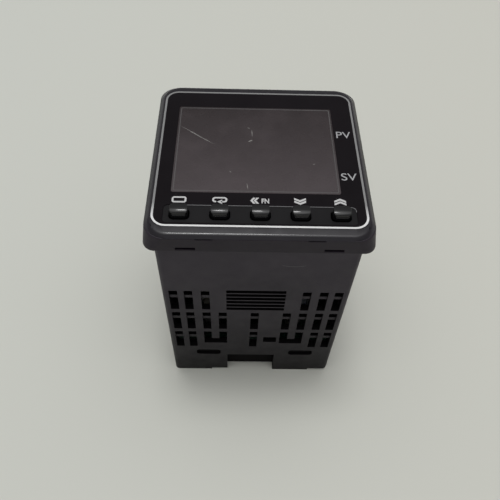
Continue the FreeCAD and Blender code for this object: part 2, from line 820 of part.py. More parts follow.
def on_board(side, size, place, lift=0.0):
    """Rectangular component standing on a main board; place is its middle in (Y, Z)."""
    face = board_face(side)
    x = sorted((face - side * lift, face - side * (lift + size[0])))
    y = (place[0] - size[1] / 2, place[0] + size[1] / 2)
    z = (place[1] - size[2] / 2, place[1] + size[2] / 2)
    return block(x, y, z)


def round_on_board(side, size, place, lift=0.0):
    """Round component of a given height and radius, standing on a main board."""
    height, radius = size
    body = facets(0, 0, radius, (lift, lift + height), component_sides)
    body.rotate(Vector(0, 0, 0), Vector(0, 1, 0), -90 * side)
    body.translate(Vector(board_face(side), place[0], place[1]))
    return body


def transformer_window():
    """Width of each winding window and its distance from the middle of the core."""
    window = (transformer_width - transformer_leg) / 2 - transformer_leg / 2
    return window, transformer_leg / 2 + window / 2


def transformer_core():
    """Ferrite core: outer frame and centre leg round the bobbin's two windows."""
    y, z = from_rear(transformer_place)
    size = (transformer_core_height, transformer_width, transformer_length)
    core = on_board(-1, size, (y, z), transformer_base)
    width, offset = transformer_window()
    window_size = (transformer_core_height - transformer_leg, width, transformer_length + 2 * cut_over)
    windows = [on_board(-1, window_size, (y + turn * offset, z), transformer_base + transformer_leg / 2)
               for turn in (-1, 1)]
    return core.cut(windows)


def transformer_bobbin():
    """Bobbin and winding: a flange at each end of the core, a coil in its windows and a base."""
    y, z = from_rear(transformer_place)
    width, offset = transformer_window()
    coil_height = transformer_core_height - transformer_leg
    base_size = (transformer_base, transformer_width, transformer_length + 2 * winding_bulge)
    base = on_board(-1, base_size, (y, z))
    parts = []
    for turn in (-1, 1):
        coil_size = (coil_height, width, transformer_length)
        parts.append(on_board(-1, coil_size, (y + turn * offset, z), transformer_base + transformer_leg / 2))
        end_size = (coil_height + transformer_leg / 2, transformer_width - transformer_leg, winding_bulge)
        end_z = z + turn * (transformer_length + winding_bulge) / 2
        parts.append(on_board(-1, end_size, (y, end_z), transformer_base))
    return base.fuse(parts).removeSplitter()


def bulk_capacitor():
    """Mains reservoir capacitor on the power board."""
    size = (board_room - bulk_capacitor_middle_gap, bulk_capacitor_radius)
    return round_on_board(-1, size, from_rear(bulk_capacitor_place))


def filter_capacitors():
    """Two small cans on the power board."""
    places = [from_front(place) for place in small_capacitor_places]
    return group([round_on_board(-1, small_capacitor_size, place) for place in places])


def input_choke():
    """Drum-core choke with its wound waist."""
    height, radius = choke_size
    place = from_front(choke_place)
    parts = [round_on_board(-1, (height, radius - choke_waist), place)]
    for lift in (0.0, height - choke_flange):
        parts.append(round_on_board(-1, (choke_flange, radius), place, lift))
    return parts[0].fuse(parts[1:]).removeSplitter()


def varistor():
    """Surge absorber: a round disc on edge with its two leads."""
    diameter, thickness = varistor_size
    radius = diameter / 2
    y, z = from_front(varistor_place)
    x = board_face(-1) + varistor_lift + radius
    disc = facets(0, 0, radius, (-thickness / 2, thickness / 2), component_sides)
    disc.rotate(Vector(0, 0, 0), Vector(1, 0, 0), 90)
    disc.translate(Vector(x, y, z))
    half = lead_side / 2
    leads = [block((board_face(-1), x), (y - half, y + half),
                   (z + turn * lead_pitch / 2 - half, z + turn * lead_pitch / 2 + half)) for turn in (-1, 1)]
    return disc.fuse(leads).removeSplitter()


def relay(middle_gap, size, place):
    """Sealed relay with rounded case edges, on the control board."""
    height = board_room - middle_gap
    body = on_board(1, (height, size[0], size[1]), from_front(place))
    edges = [edge for edge in body.Edges if edge.BoundBox.XLength > height / 2]
    return body.makeFillet(relay_corner, edges)


def optocouplers():
    """Small isolators with their leads, in a row on the control board."""
    solids = []
    for index in range(optocoupler_count):
        place = from_rear((optocoupler_y, optocoupler_rear + index * optocoupler_pitch))
        body = on_board(1, optocoupler_size, place, 0.4)
        for turn_y in (-1, 1):
            for turn_z in (-1, 1):
                y = place[0] + turn_y * (optocoupler_size[1] / 2 + 0.3)
                z = place[1] + turn_z * optocoupler_size[2] / 4
                lead = on_board(1, (optocoupler_size[0] / 2 + 0.4, 0.6, 1.0), (y, z))
                body = body.fuse(lead)
        solids.append(body.removeSplitter())
    return group(solids)


def processor():
    """Controller chip on the rear of the display board, with a gull-wing lead frame round it."""
    x, y = processor_place
    z = (board_back_z - processor_height, board_back_z)
    body = centred(x, y, processor_side, processor_side, (z[0], z[1] - 0.15))
    leads = centred(x, y, processor_side + 1.6, processor_side - 1.2, (z[1] - 0.35, z[1]))
    others = centred(x, y, processor_side - 1.2, processor_side + 1.6, (z[1] - 0.35, z[1]))
    return body.fuse([leads, others]).removeSplitter()


# ---- Build --------------------------------------------------------------------------
def build():
    """Write every sub-part."""
    os.makedirs("parts", exist_ok=True)
    save("rear_case", rear_case())
    save("front_collar", front_collar())
    save("front_bezel", front_bezel())
    save("face_sheet", face_sheet())
    save("display_lens", display_lens())
    save("lcd_glass", lcd_glass())
    save("backlight", backlight())
    save("display_board", display_board())
    save("board_screws", board_screws())
    for name, x in zip(key_names, key_x):
        save("key_" + name, key_cap(x))
        save("plunger_" + name, plunger(x))
    save("key_switches", key_switches())
    save("processor", processor())
    save("terminal_block", terminal_block())
    save("terminal_strips", terminal_strips())
    save("clamp_plates", clamp_plates())
    save("terminal_screws", terminal_screws())
    save("backplane_board", backplane_board())
    save("board_sockets", board_sockets())
    save("power_board", main_board(-1))
    save("control_board", main_board(1))
    save("link_headers", link_headers())
    save("link_pins", link_pins())
    save("transformer_core", transformer_core())
    save("transformer_bobbin", transformer_bobbin())
    save("bulk_capacitor", bulk_capacitor())
    save("filter_capacitors", filter_capacitors())
    save("input_choke", input_choke())
    save("varistor", varistor())
    save("output_relay", relay(output_relay_middle_gap, output_relay_size, output_relay_place))
    save("alarm_relays", group([relay(alarm_relay_middle_gap, alarm_relay_size, place)
                                for place in alarm_relay_places]))
    save("optocouplers", optocouplers())


build()
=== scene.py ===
"""Looks of a panel-mounting temperature controller, dressed over its fixed CAD frame.

Every sub-assembly is a class with its sizes in millimetres, every finish is a small frozen
dataclass, and main() builds them in order over the loaded frame.
"""

import logging
import math
from dataclasses import dataclass, field
from enum import Enum
from typing import Callable, Sequence

import bmesh
import bpy
from mathutils import Matrix, Vector


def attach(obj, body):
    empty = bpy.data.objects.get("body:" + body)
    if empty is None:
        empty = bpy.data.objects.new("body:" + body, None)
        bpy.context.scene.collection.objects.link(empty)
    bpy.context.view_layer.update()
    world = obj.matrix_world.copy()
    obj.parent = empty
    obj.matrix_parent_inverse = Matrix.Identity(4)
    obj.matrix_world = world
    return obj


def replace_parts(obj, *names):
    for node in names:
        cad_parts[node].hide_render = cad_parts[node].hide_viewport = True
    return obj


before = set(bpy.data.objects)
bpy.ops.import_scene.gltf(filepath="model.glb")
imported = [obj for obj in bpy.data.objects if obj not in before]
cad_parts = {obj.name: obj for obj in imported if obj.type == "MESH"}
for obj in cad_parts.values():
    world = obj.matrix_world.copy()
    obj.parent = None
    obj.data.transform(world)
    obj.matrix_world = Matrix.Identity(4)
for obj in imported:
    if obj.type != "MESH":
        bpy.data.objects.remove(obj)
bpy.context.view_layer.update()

LOG = logging.getLogger("controller")
MM = 0.001
BODY = "controller"
FACE_Z = 66.0           # display face above the rear rim, in millimetres
NEAR = 0.05             # millimetres within which a place counts as the one looked for
STEEP = 0.9             # share of Z from which a unit direction counts as upright
MID_BAND = (0.3, 0.7)   # band that holds most values of a noise
Colour = tuple[float, float, float]
Point = tuple[float, float, float]
Pair = tuple[float, float]
Test = Callable[[Vector, Vector], bool]


# ---- Modelling by hand ---------------------------------------------------------------
class Pick(Enum):
    """What kind of mesh element a selection takes."""

    VERTS = "VERT"
    EDGES = "EDGE"
    FACES = "FACE"


class Axis(Enum):
    """One of the frame's three axes."""

    X = "X"
    Y = "Y"
    Z = "Z"


class Shaper:
    """One mesh on the bench: a primitive that is shaped in edit mode, with sizes in millimetres."""

    def __init__(self, name: str) -> None:
        """Takes the active object, which has just been added.

        Args:
            name: name of the piece.
        """
        self.piece: bpy.types.Object = bpy.context.object
        self.piece.name = name
        self.piece.data.name = name

    @classmethod
    def block(cls, name: str, low: Point, high: Point) -> "Shaper":
        """Starts from a cube.

        Args:
            name: name of the piece.
            low: lowest corner.
            high: highest corner.

        Returns:
            The shaper that holds the block.
        """
        bench_clear()
        middle = [(a + b) / 2 * MM for a, b in zip(low, high)]
        bpy.ops.mesh.primitive_cube_add(size=1.0, location=middle)
        bpy.context.object.scale = [(b - a) * MM for a, b in zip(low, high)]
        return cls(name).settled()

    @classmethod
    def sheet(cls, name: str, centre: Point, size: Pair) -> "Shaper":
        """Starts from a flat plane.

        Args:
            name: name of the piece.
            centre: middle of the plane.
            size: its width along X and length along Y.

        Returns:
            The shaper that holds the plane.
        """
        bench_clear()
        bpy.ops.mesh.primitive_plane_add(size=1.0, location=[v * MM for v in centre])
        bpy.context.object.scale = (size[0] * MM, size[1] * MM, 1.0)
        return cls(name).settled()

    @classmethod
    def round(cls, name: str, centre: Point, radius: float, depth: float, sides: int = 32) -> "Shaper":
        """Starts from a cylinder along Z.

        Args:
            name: name of the piece.
            centre: middle of the cylinder.
            radius: its radius.
            depth: its height.
            sides: number of sides.

        Returns:
            The shaper that holds the cylinder.
        """
        bench_clear()
        bpy.ops.mesh.primitive_cylinder_add(vertices=sides, radius=radius * MM, depth=depth * MM,
                                            location=[v * MM for v in centre])
        return cls(name).settled()

    def settled(self) -> "Shaper":
        """Puts the object's place and scale into its mesh."""
        bpy.ops.object.transform_apply(location=True, rotation=True, scale=True)
        return self

    def pick(self, kind: Pick, test: Test) -> "Shaper":
        """Selects elements by place and direction.

        Args:
            kind: what to select.
            test: takes an element's middle in millimetres, and its normal or, for an edge, its
                unit direction.

        Returns:
            The shaper itself.
        """
        if self.piece.mode != "EDIT":
            bpy.ops.object.mode_set(mode="EDIT")
        bpy.ops.mesh.select_mode(type=kind.value)
        bpy.ops.mesh.select_all(action="DESELECT")
        mesh = bmesh.from_edit_mesh(self.piece.data)
        if kind is Pick.FACES:
            for face in mesh.faces:
                face.select = test(face.calc_center_median() / MM, face.normal)
        elif kind is Pick.EDGES:
            for edge in mesh.edges:
                ends = [vert.co for vert in edge.verts]
                along = (ends[1] - ends[0]).normalized()
                edge.select = test((ends[0] + ends[1]) / 2 / MM, along)
        else:
            for vert in mesh.verts:
                vert.select = test(vert.co / MM, vert.normal)
        mesh.select_flush_mode()
        bmesh.update_edit_mesh(self.piece.data)
        return self

    def pick_all(self) -> "Shaper":
        """Selects the whole mesh."""
        return self.pick(Pick.VERTS, lambda place, normal: True)

    def merge(self, distance: float) -> "Shaper":
        """Merges the selected points that lie within a distance of each other."""
        bpy.ops.mesh.remove_doubles(threshold=distance * MM)
        return self

    def pick_faces(self) -> "Shaper":
        """Selects every face."""
        return self.pick(Pick.FACES, lambda place, normal: True)

    def pick_tops(self) -> "Shaper":
        """Selects the faces that look along +Z."""
        return self.pick(Pick.FACES, lambda place, normal: normal.z > STEEP)

    def pick_ridges(self, low: float, degrees: float) -> "Shaper":
        """Selects the sharp edges above a height.

        Args:
            low: least height of an edge.
            degrees: least angle between its two faces.

        Returns:
            The shaper itself.
        """
        self.pick(Pick.EDGES, lambda place, along: False)
        mesh = bmesh.from_edit_mesh(self.piece.data)
        for edge in mesh.edges:
            above = min(vert.co.z for vert in edge.verts) / MM > low
            edge.select = above and edge.is_manifold and edge.calc_face_angle() > math.radians(degrees)
        mesh.select_flush_mode()
        bmesh.update_edit_mesh(self.piece.data)
        return self

    def round_upright(self, width: float, segments: int) -> "Shaper":
        """Rounds the edges that run along Z."""
        return self.pick(Pick.EDGES, lambda place, along: abs(along.z) > STEEP).bevel(width, segments)

    def bevel(self, width: float, segments: int = 4, corners: bool = False) -> "Shaper":
        """Rounds what is selected.

        Args:
            width: distance from the old edge to the new ones.
            segments: number of facets across the rounding.
            corners: whether the corners of a flat sheet are rounded and not edges.

        Returns:
            The shaper itself.
        """
        bpy.ops.mesh.bevel(offset=width * MM, segments=segments, profile=0.5,
                           affect="VERTICES" if corners else "EDGES")
        return self

    def inset(self, width: float, depth: float = 0.0) -> "Shaper":
        """Insets the selected faces."""
        bpy.ops.mesh.inset(thickness=width * MM, depth=depth * MM)
        return self

    def extrude(self, step: Point) -> "Shaper":
        """Extrudes the selected faces by a step."""
        bpy.ops.mesh.extrude_region_move(TRANSFORM_OT_translate={"value": [v * MM for v in step]})
        return self

    def move(self, step: Point) -> "Shaper":
        """Moves the selected elements by a step."""
        bpy.ops.transform.translate(value=[v * MM for v in step])
        return self

    def turn(self, degrees: float, axis: Axis, centre: Point) -> "Shaper":
        """Turns the selected elements.

        Args:
            degrees: anticlockwise turn, seen from the axis's positive end.
            axis: the axis.
            centre: a point that the axis goes through.

        Returns:
            The shaper itself.
        """
        bpy.ops.transform.rotate(value=-math.radians(degrees), orient_axis=axis.value,
                                 center_override=[v * MM for v in centre])
        return self

    def stretch(self, scale: Point, centre: Point) -> "Shaper":
        """Scales the selected elements about a point."""
        bpy.ops.transform.resize(value=scale, center_override=[v * MM for v in centre])
        return self

    def slice(self, point: Point, normal: Point) -> "Shaper":
        """Cuts a new edge loop through the whole mesh along a plane."""
        self.pick_all()
        bpy.ops.mesh.bisect(plane_co=[v * MM for v in point], plane_no=normal)
        return self

    def delete(self, kind: Pick) -> "Shaper":
        """Deletes the selected elements."""
        bpy.ops.mesh.delete(type=kind.value)
        return self

    def join(self, others: Sequence["Shaper"]) -> "Shaper":
        """Takes other pieces into this one.

        Args:
            others: the pieces that it takes in.

        Returns:
            The shaper itself.
        """
        self.leave_edit()
        for other in others:
            other.leave_edit()
        bpy.ops.object.select_all(action="DESELECT")
        for other in others:
            other.piece.select_set(True)
        self.piece.select_set(True)
        bpy.context.view_layer.objects.active = self.piece
        bpy.ops.object.join()
        return self

    def leave_edit(self) -> None:
        """Goes back to object mode with this piece active."""
        bpy.context.view_layer.objects.active = self.piece
        if self.piece.mode != "OBJECT":
            bpy.ops.object.mode_set(mode="OBJECT")

    def modifier(self, kind: str, **values: object) -> "Shaper":
        """Adds a modifier and applies it.

        Args:
            kind: Blender's name for the modifier.
            values: its settings by name.

        Returns:
            The shaper itself.
        """
        self.leave_edit()
        added = self.piece.modifiers.new(kind.title(), kind)
        for key, value in values.items():
            setattr(added, key, value)
        bpy.ops.object.select_all(action="DESELECT")
        self.piece.select_set(True)
        bpy.ops.object.modifier_apply(modifier=added.name)
        return self

    def finish(self, finish: "Finish", slot: str, body: str = BODY, angle: float = 35.0) -> bpy.types.Object:
        """Closes the piece: outward faces, smooth shading, material and body.

        Args:
            finish: what it is made of.
            slot: the record's material slot; not used.
            body: the CAD body that it moves with.
            angle: edges sharper than this stay sharp, in degrees.

        Returns:
            The finished object.
        """
        self.pick_all()
        bpy.ops.mesh.normals_make_consistent(inside=False)
        self.leave_edit()
        bpy.ops.object.select_all(action="DESELECT")
        self.piece.select_set(True)
        bpy.ops.object.shade_smooth_by_angle(angle=math.radians(angle))
        self.piece.data.materials.clear()
        self.piece.data.materials.append(finish.material())
        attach(self.piece, body)
        LOG.info("%s: %d faces", self.piece.name, len(self.piece.data.polygons))
        return self.piece


def bench_clear() -> None:
    """Leaves edit mode and deselects everything."""
    if bpy.context.object is not None and bpy.context.object.mode != "OBJECT":
        bpy.ops.object.mode_set(mode="OBJECT")
    bpy.ops.object.select_all(action="DESELECT")


# ---- Shader building -----------------------------------------------------------------
class Graph:
    """A material under construction, with short ways to add and join its nodes."""

    def __init__(self, name: str) -> None:
        """Makes an empty material with one principled shader.

        Args:
            name: name of the material.
        """
        self.made = bpy.data.materials.new(name)
        self.made.use_nodes = True
        self.tree = self.made.node_tree
        self.shader = next(node for node in self.tree.nodes if node.type == "BSDF_PRINCIPLED")
        self.place = self.node("ShaderNodeTexCoord").outputs["Object"]

    def node(self, kind: str, **values: object) -> bpy.types.Node:
        """Adds a node.

        Args:
            kind: Blender's name for the node.
            values: its properties by name.

        Returns:
            The node.
        """
        made = self.tree.nodes.new(kind)
        for key, value in values.items():
            setattr(made, key, value)
        return made

    def join(self, source: bpy.types.NodeSocket, target: bpy.types.NodeSocket) -> None:
        """Links two sockets."""
        self.tree.links.new(source, target)

    def noise(self, size_mm: float, detail: float = 3.0,
              stretch: Point = (1.0, 1.0, 1.0)) -> bpy.types.NodeSocket:
        """Noise whose grains have a given size.

        Args:
            size_mm: rough size of a grain.
            detail: octaves of finer grain.
            stretch: how much finer the grain is along each axis.

        Returns:
            The noise value.
        """
        mapping = self.node("ShaderNodeMapping")
        mapping.inputs["Scale"].default_value = stretch
        self.join(self.place, mapping.inputs["Vector"])
        made = self.node("ShaderNodeTexNoise")
        made.inputs["Scale"].default_value = 1.0 / (size_mm * MM)
        made.inputs["Detail"].default_value = detail
        self.join(mapping.outputs["Vector"], made.inputs["Vector"])
        return made.outputs["Fac"]

    def ramp(self, value: bpy.types.NodeSocket,
             stops: Sequence[tuple[float, Colour]]) -> bpy.types.NodeSocket:
        """Colour ramp over a value.

        Args:
            value: what drives the ramp.
            stops: places from 0 to 1, each with its colour.

        Returns:
            The colour.
        """
        made = self.node("ShaderNodeValToRGB")
        ramp = made.color_ramp
        while len(ramp.elements) < len(stops):
            ramp.elements.new(0.5)
        for element, (place, colour) in zip(ramp.elements, stops):
            element.position = place
            element.color = (*colour, 1.0)
        self.join(value, made.inputs["Fac"])
        return made.outputs["Color"]

    def spread(self, value: bpy.types.NodeSocket, source: Pair, target: Pair) -> bpy.types.NodeSocket:
        """Maps a value from one range to another, clamped.

        Args:
            value: what is mapped.
            source: its range.
            target: what the ends of that range become.

        Returns:
            The mapped value.
        """
        made = self.node("ShaderNodeMapRange")
        made.inputs["From Min"].default_value = source[0]
        made.inputs["From Max"].default_value = source[1]
        made.inputs["To Min"].default_value = target[0]
        made.inputs["To Max"].default_value = target[1]
        self.join(value, made.inputs["Value"])
        return made.outputs["Result"]

    def mix(self, share: bpy.types.NodeSocket, first: bpy.types.NodeSocket | Colour,
            second: bpy.types.NodeSocket | Colour) -> bpy.types.NodeSocket:
        """Mixes two colours.

        Args:
            share: share of the second colour.
            first: the first colour, or a socket that gives it.
            second: the second colour, or a socket that gives it.

        Returns:
            The mixed colour.
        """
        made = self.node("ShaderNodeMix", data_type="RGBA")
        self.join(share, made.inputs["Factor"])
        for key, value in (("A", first), ("B", second)):
            socket = [item for item in made.inputs if item.name == key and item.type == "RGBA"][0]
            if isinstance(value, tuple):
                socket.default_value = (*value, 1.0)
            else:
                self.join(value, socket)
        return [item for item in made.outputs if item.type == "RGBA"][0]

    def product(self, first: bpy.types.NodeSocket, second: bpy.types.NodeSocket) -> bpy.types.NodeSocket:
        """Multiplies two colours.

        Args:
            first: one colour.
            second: the other.

        Returns:
            Their product.
        """
        made = self.node("ShaderNodeMix", data_type="RGBA", blend_type="MULTIPLY")
        made.inputs["Factor"].default_value = 1.0
        sockets = [item for item in made.inputs if item.type == "RGBA"]
        self.join(first, sockets[0])
        self.join(second, sockets[1])
        return [item for item in made.outputs if item.type == "RGBA"][0]

    def paint(self, tone: bpy.types.NodeSocket) -> None:
        """Gives the shader its base colour."""
        self.join(tone, self.shader.inputs["Base Color"])

    def vary_roughness(self, grain: bpy.types.NodeSocket, low: float, high: float) -> None:
        """Lets the roughness wander between two values over a grain."""
        self.join(self.spread(grain, MID_BAND, (low, high)), self.shader.inputs["Roughness"])

    def bump(self, height: bpy.types.NodeSocket, depth_mm: float) -> None:
        """Raises the surface by a height map.

        Args:
            height: the height map, from 0 to 1.
            depth_mm: how far 1 stands above 0.
        """
        made = self.node("ShaderNodeBump")
        made.inputs["Strength"].default_value = 1.0
        made.inputs["Distance"].default_value = depth_mm * MM
        self.join(height, made.inputs["Height"])
        self.join(made.outputs["Normal"], self.shader.inputs["Normal"])

    def axis(self, axis: Axis) -> bpy.types.NodeSocket:
        """One coordinate of the place.

        Args:
            axis: which one.

        Returns:
            The coordinate, in metres.
        """
        made = self.node("ShaderNodeSeparateXYZ")
        self.join(self.place, made.inputs[0])
        return made.outputs[axis.value]

    def set(self, name: str, value: float | Colour) -> None:
        """Sets a socket of the shader."""
        self.shader.inputs[name].default_value = (*value, 1.0) if isinstance(value, tuple) else value


def tinted(colour: Colour, share: float) -> Colour:
    """A colour made lighter or darker by a share."""
    return tuple(max(0.0, channel * share) for channel in colour)


# ---- Finishes ------------------------------------------------------------------------
@dataclass(frozen=True)
class Finish:
    """Base of every finish: a name and a colour."""

    name: str
    colour: Colour

    def material(self) -> bpy.types.Material:
        """The Blender material, made once and then shared."""
        return bpy.data.materials.get(self.name) or self.make()

    def make(self) -> bpy.types.Material:
        """Builds the material."""
        raise NotImplementedError


@dataclass(frozen=True)
class Moulded(Finish):
    """Moulded plastic: spark-eroded grain, faint flow mottling and rubbed, shinier patches.

    Its colour can darken downwards, to a share of itself at the rear rim: painted shade where the housing
    stands on the floor.
    """

    roughness: float = 0.5
    specular: float = 0.4
    grain_mm: float = 0.12
    depth_mm: float = 0.012
    mottle: float = 0.12
    patch_mm: float = 9.0
    pit: float = 0.86
    wander: float = 0.07
    painted_shade_share: float = 1.0
    painted_shade_top_mm: float = 60.0

    def make(self) -> bpy.types.Material:
        """Builds the material.

        Returns:
            The Blender material.
        """
        graph = Graph(self.name)
        broad = graph.noise(self.patch_mm, 4.0)
        fine = graph.noise(self.grain_mm, 2.0)
        tone = graph.ramp(broad, ((MID_BAND[0], tinted(self.colour, 1 - self.mottle)),
                                  (MID_BAND[1], tinted(self.colour, 1 + self.mottle))))
        speck = graph.ramp(fine, ((0.35, (self.pit,) * 3), (0.65, (1.0, 1.0, 1.0))))
        # Painted shade: the colour is blended towards black below a height, down to the given share of itself
        # at the rear rim.
        low = graph.spread(graph.axis(Axis.Z), (0.0, self.painted_shade_top_mm * MM), (1.0 - self.painted_shade_share, 0.0))
        graph.paint(graph.mix(low, graph.product(tone, speck), (0.0, 0.0, 0.0)))
        rubbed = graph.noise(self.patch_mm * 0.4, 5.0)
        graph.vary_roughness(rubbed, self.roughness - self.wander, self.roughness + self.wander)
        graph.set("Specular IOR Level", self.specular)
        graph.bump(fine, self.depth_mm)
        return graph.made


@dataclass(frozen=True)
class Film(Finish):
    """Printed film: nearly black, very fine velvet texture and a few grains of dust."""

    roughness: float = 0.6
    specular: float = 0.08
    dust: Colour = (0.10, 0.10, 0.10)
    dust_mm: float = 1.9
    dusty_mm: float = 5.0

    def make(self) -> bpy.types.Material:
        """Builds the material.

        Returns:
            The Blender material.
        """
        graph = Graph(self.name)
        tone = graph.ramp(graph.noise(14.0, 3.0), ((MID_BAND[0], tinted(self.colour, 0.85)),
                                                   (MID_BAND[1], tinted(self.colour, 1.2))))
        cells = graph.node("ShaderNodeTexVoronoi")
        cells.inputs["Scale"].default_value = 1 / (self.dust_mm * MM)
        graph.join(graph.place, cells.inputs["Vector"])
        speck = graph.spread(cells.outputs["Distance"], (0.03, 0.06), (1.0, 0.0))
        chosen = graph.spread(graph.noise(self.dusty_mm, 1.0), (0.60, 0.64), (0.0, 1.0))
        both = graph.node("ShaderNodeMath", operation="MULTIPLY")
        graph.join(speck, both.inputs[0])
        graph.join(chosen, both.inputs[1])
        graph.paint(graph.mix(both.outputs[0], tone, self.dust))
        graph.vary_roughness(graph.noise(6.0, 4.0), self.roughness - 0.05, self.roughness + 0.08)
        graph.set("Specular IOR Level", self.specular)
        graph.bump(graph.noise(0.08, 2.0), 0.004)
        return graph.made


@dataclass(frozen=True)
class Smoked(Finish):
    """Smoked window: a deep tint with painted light that brightens it towards its lower edge, and faint haze.
    """

    upper: Colour = (0.020, 0.014, 0.015)
    painted_light_span_mm: Pair = (-12.0, 16.0)
    haze: float = 0.22

    def make(self) -> bpy.types.Material:
        """Builds the material.

        Returns:
            The Blender material.
        """
        graph = Graph(self.name)
        low, high = self.painted_light_span_mm
        # Painted light: the tint lightens from the upper colour at the top to its own colour at the lower
        # edge.
        height = graph.spread(graph.axis(Axis.Y), (low * MM, high * MM), (0.0, 1.0))
        tone = graph.mix(height, self.colour, self.upper)
        haze = graph.spread(graph.noise(7.0, 5.0), (0.45, 0.75), (0.0, self.haze))
        graph.paint(graph.mix(haze, tone, tinted(self.colour, 1.5)))
        graph.vary_roughness(graph.noise(3.0, 5.0), 0.22, 0.34)
        graph.set("Specular IOR Level", 0.3)
        graph.set("Coat Weight", 0.15)
        graph.set("Coat Roughness", 0.12)
        graph.bump(graph.noise(2.5, 3.0), 0.002)
        return graph.made


@dataclass(frozen=True)
class Ink(Finish):
    """Screen-printed ink, a little thin in places, that can dim away from the lower edge."""

    dimmed: float = 1.0
    dimming_mm: Pair = (-19.0, -15.0)
    thin: float = 0.12

    def make(self) -> bpy.types.Material:
        """Builds the material.

        Returns:
            The Blender material.
        """
        graph = Graph(self.name)
        low, high = self.dimming_mm
        height = graph.spread(graph.axis(Axis.Y), (low * MM, high * MM), (0.0, 1.0))
        tone = graph.mix(height, self.colour, tinted(self.colour, self.dimmed))
        worn = graph.spread(graph.noise(0.5, 4.0), (0.55, 0.75), (0.0, self.thin))
        graph.paint(graph.mix(worn, tone, tinted(self.colour, 0.3)))
        graph.vary_roughness(graph.noise(1.0, 3.0), 0.40, 0.55)
        graph.bump(graph.noise(0.2, 2.0), 0.003)
        return graph.made


@dataclass(frozen=True)
class Plated(Finish):
    """Plated metal with fine tool marks and slight tarnish."""

    roughness: float = 0.28
    mark_mm: float = 0.15
    along: Point = (1.0, 6.0, 1.0)

    def make(self) -> bpy.types.Material:
        """Builds the material.

        Returns:
            The Blender material.
        """
        graph = Graph(self.name)
        tarnish = graph.noise(2.2, 5.0)
        graph.paint(graph.ramp(tarnish, ((0.3, tinted(self.colour, 0.72)), (0.62, self.colour))))
        marks = graph.noise(self.mark_mm, 3.0, self.along)
        graph.vary_roughness(marks, self.roughness - 0.08, self.roughness + 0.10)
        graph.set("Metallic", 1.0)
        graph.bump(marks, 0.004)
        return graph.made


@dataclass(frozen=True)
class Laminate(Finish):
    """Circuit board: glass weave under solder mask, with paler tracks."""

    track: Colour = (0.004, 0.020, 0.012)
    track_mm: float = 5.0
    weave_mm: float = 0.7

    def make(self) -> bpy.types.Material:
        """Builds the material.

        Returns:
            The Blender material.
        """
        graph = Graph(self.name)
        bricks = graph.node("ShaderNodeTexBrick")
        bricks.inputs["Scale"].default_value = 1 / (self.track_mm * MM)
        bricks.inputs["Mortar Size"].default_value = 0.03
        bricks.inputs["Color1"].default_value = (*self.colour, 1.0)
        bricks.inputs["Color2"].default_value = (*tinted(self.colour, 1.12), 1.0)
        bricks.inputs["Mortar"].default_value = (*self.track, 1.0)
        graph.join(graph.place, bricks.inputs["Vector"])
        weave = graph.noise(self.weave_mm, 1.0, (1.0, 1.0, 3.0))
        shade = graph.spread(weave, MID_BAND, (0.0, 0.35))
        graph.paint(graph.mix(shade, bricks.outputs["Color"], tinted(self.colour, 0.6)))
        graph.vary_roughness(weave, 0.26, 0.36)
        graph.bump(weave, 0.01)
        return graph.made


@dataclass(frozen=True)
class Wound(Finish):
    """Layers of tape or wire wound round a core."""

    pitch_mm: float = 1.1
    roughness: float = 0.4

    def make(self) -> bpy.types.Material:
        """Builds the material.

        Returns:
            The Blender material.
        """
        graph = Graph(self.name)
        wave = graph.node("ShaderNodeTexWave", bands_direction="Z")
        wave.inputs["Scale"].default_value = 0.32 / (self.pitch_mm * MM)
        wave.inputs["Distortion"].default_value = 1.2
        graph.join(graph.place, wave.inputs["Vector"])
        graph.paint(graph.ramp(wave.outputs["Fac"], ((0.2, tinted(self.colour, 0.75)), (0.8, self.colour))))
        graph.vary_roughness(graph.noise(1.5, 3.0), self.roughness - 0.05, self.roughness + 0.1)
        graph.bump(wave.outputs["Fac"], 0.03)
        return graph.made


# The housing's colour darkens towards its rear rim as painted shade near the floor.
CASE = Moulded("case_moulding", (0.047, 0.040, 0.051), roughness=0.50, specular=0.18, grain_mm=0.16,
               depth_mm=0.014, painted_shade_share=0.08)
COLLAR = Moulded("collar_moulding", (0.0145, 0.0100, 0.0165), roughness=0.46, specular=0.3, grain_mm=0.14)
BEZEL = Moulded("bezel_moulding", (0.0110, 0.0092, 0.0130), roughness=0.20, specular=0.5, grain_mm=0.10,
                depth_mm=0.006)
KEY = Moulded("key_moulding", (0.004, 0.004, 0.0045), roughness=0.14, specular=0.5, grain_mm=0.3,
              depth_mm=0.001)
# Painted shade: a nearly black, matte copy of the plastic for faces deep in vents, slots and ratchet grooves
# and for block faces seen through the slots.
RECESS_SHADE = Moulded("recess_moulding", (0.004, 0.0035, 0.004), roughness=0.7, specular=0.05)
SHEET = Film("front_film", (0.0058, 0.0042, 0.0056))
PANE = Smoked("smoked_window", (0.058, 0.047, 0.050))
# Painted highlight: the lighter grey line along the window's step edge.
PANE_HIGHLIGHT = Moulded("window_edge", (0.090, 0.085, 0.086), roughness=0.35, depth_mm=0.002)
LINE_INK = Ink("border_ink", (0.74, 0.74, 0.74), dimmed=0.30)
MARK_INK = Ink("mark_ink", (0.53, 0.53, 0.53))
LETTER_INK = Ink("letter_ink", (0.36, 0.36, 0.37))
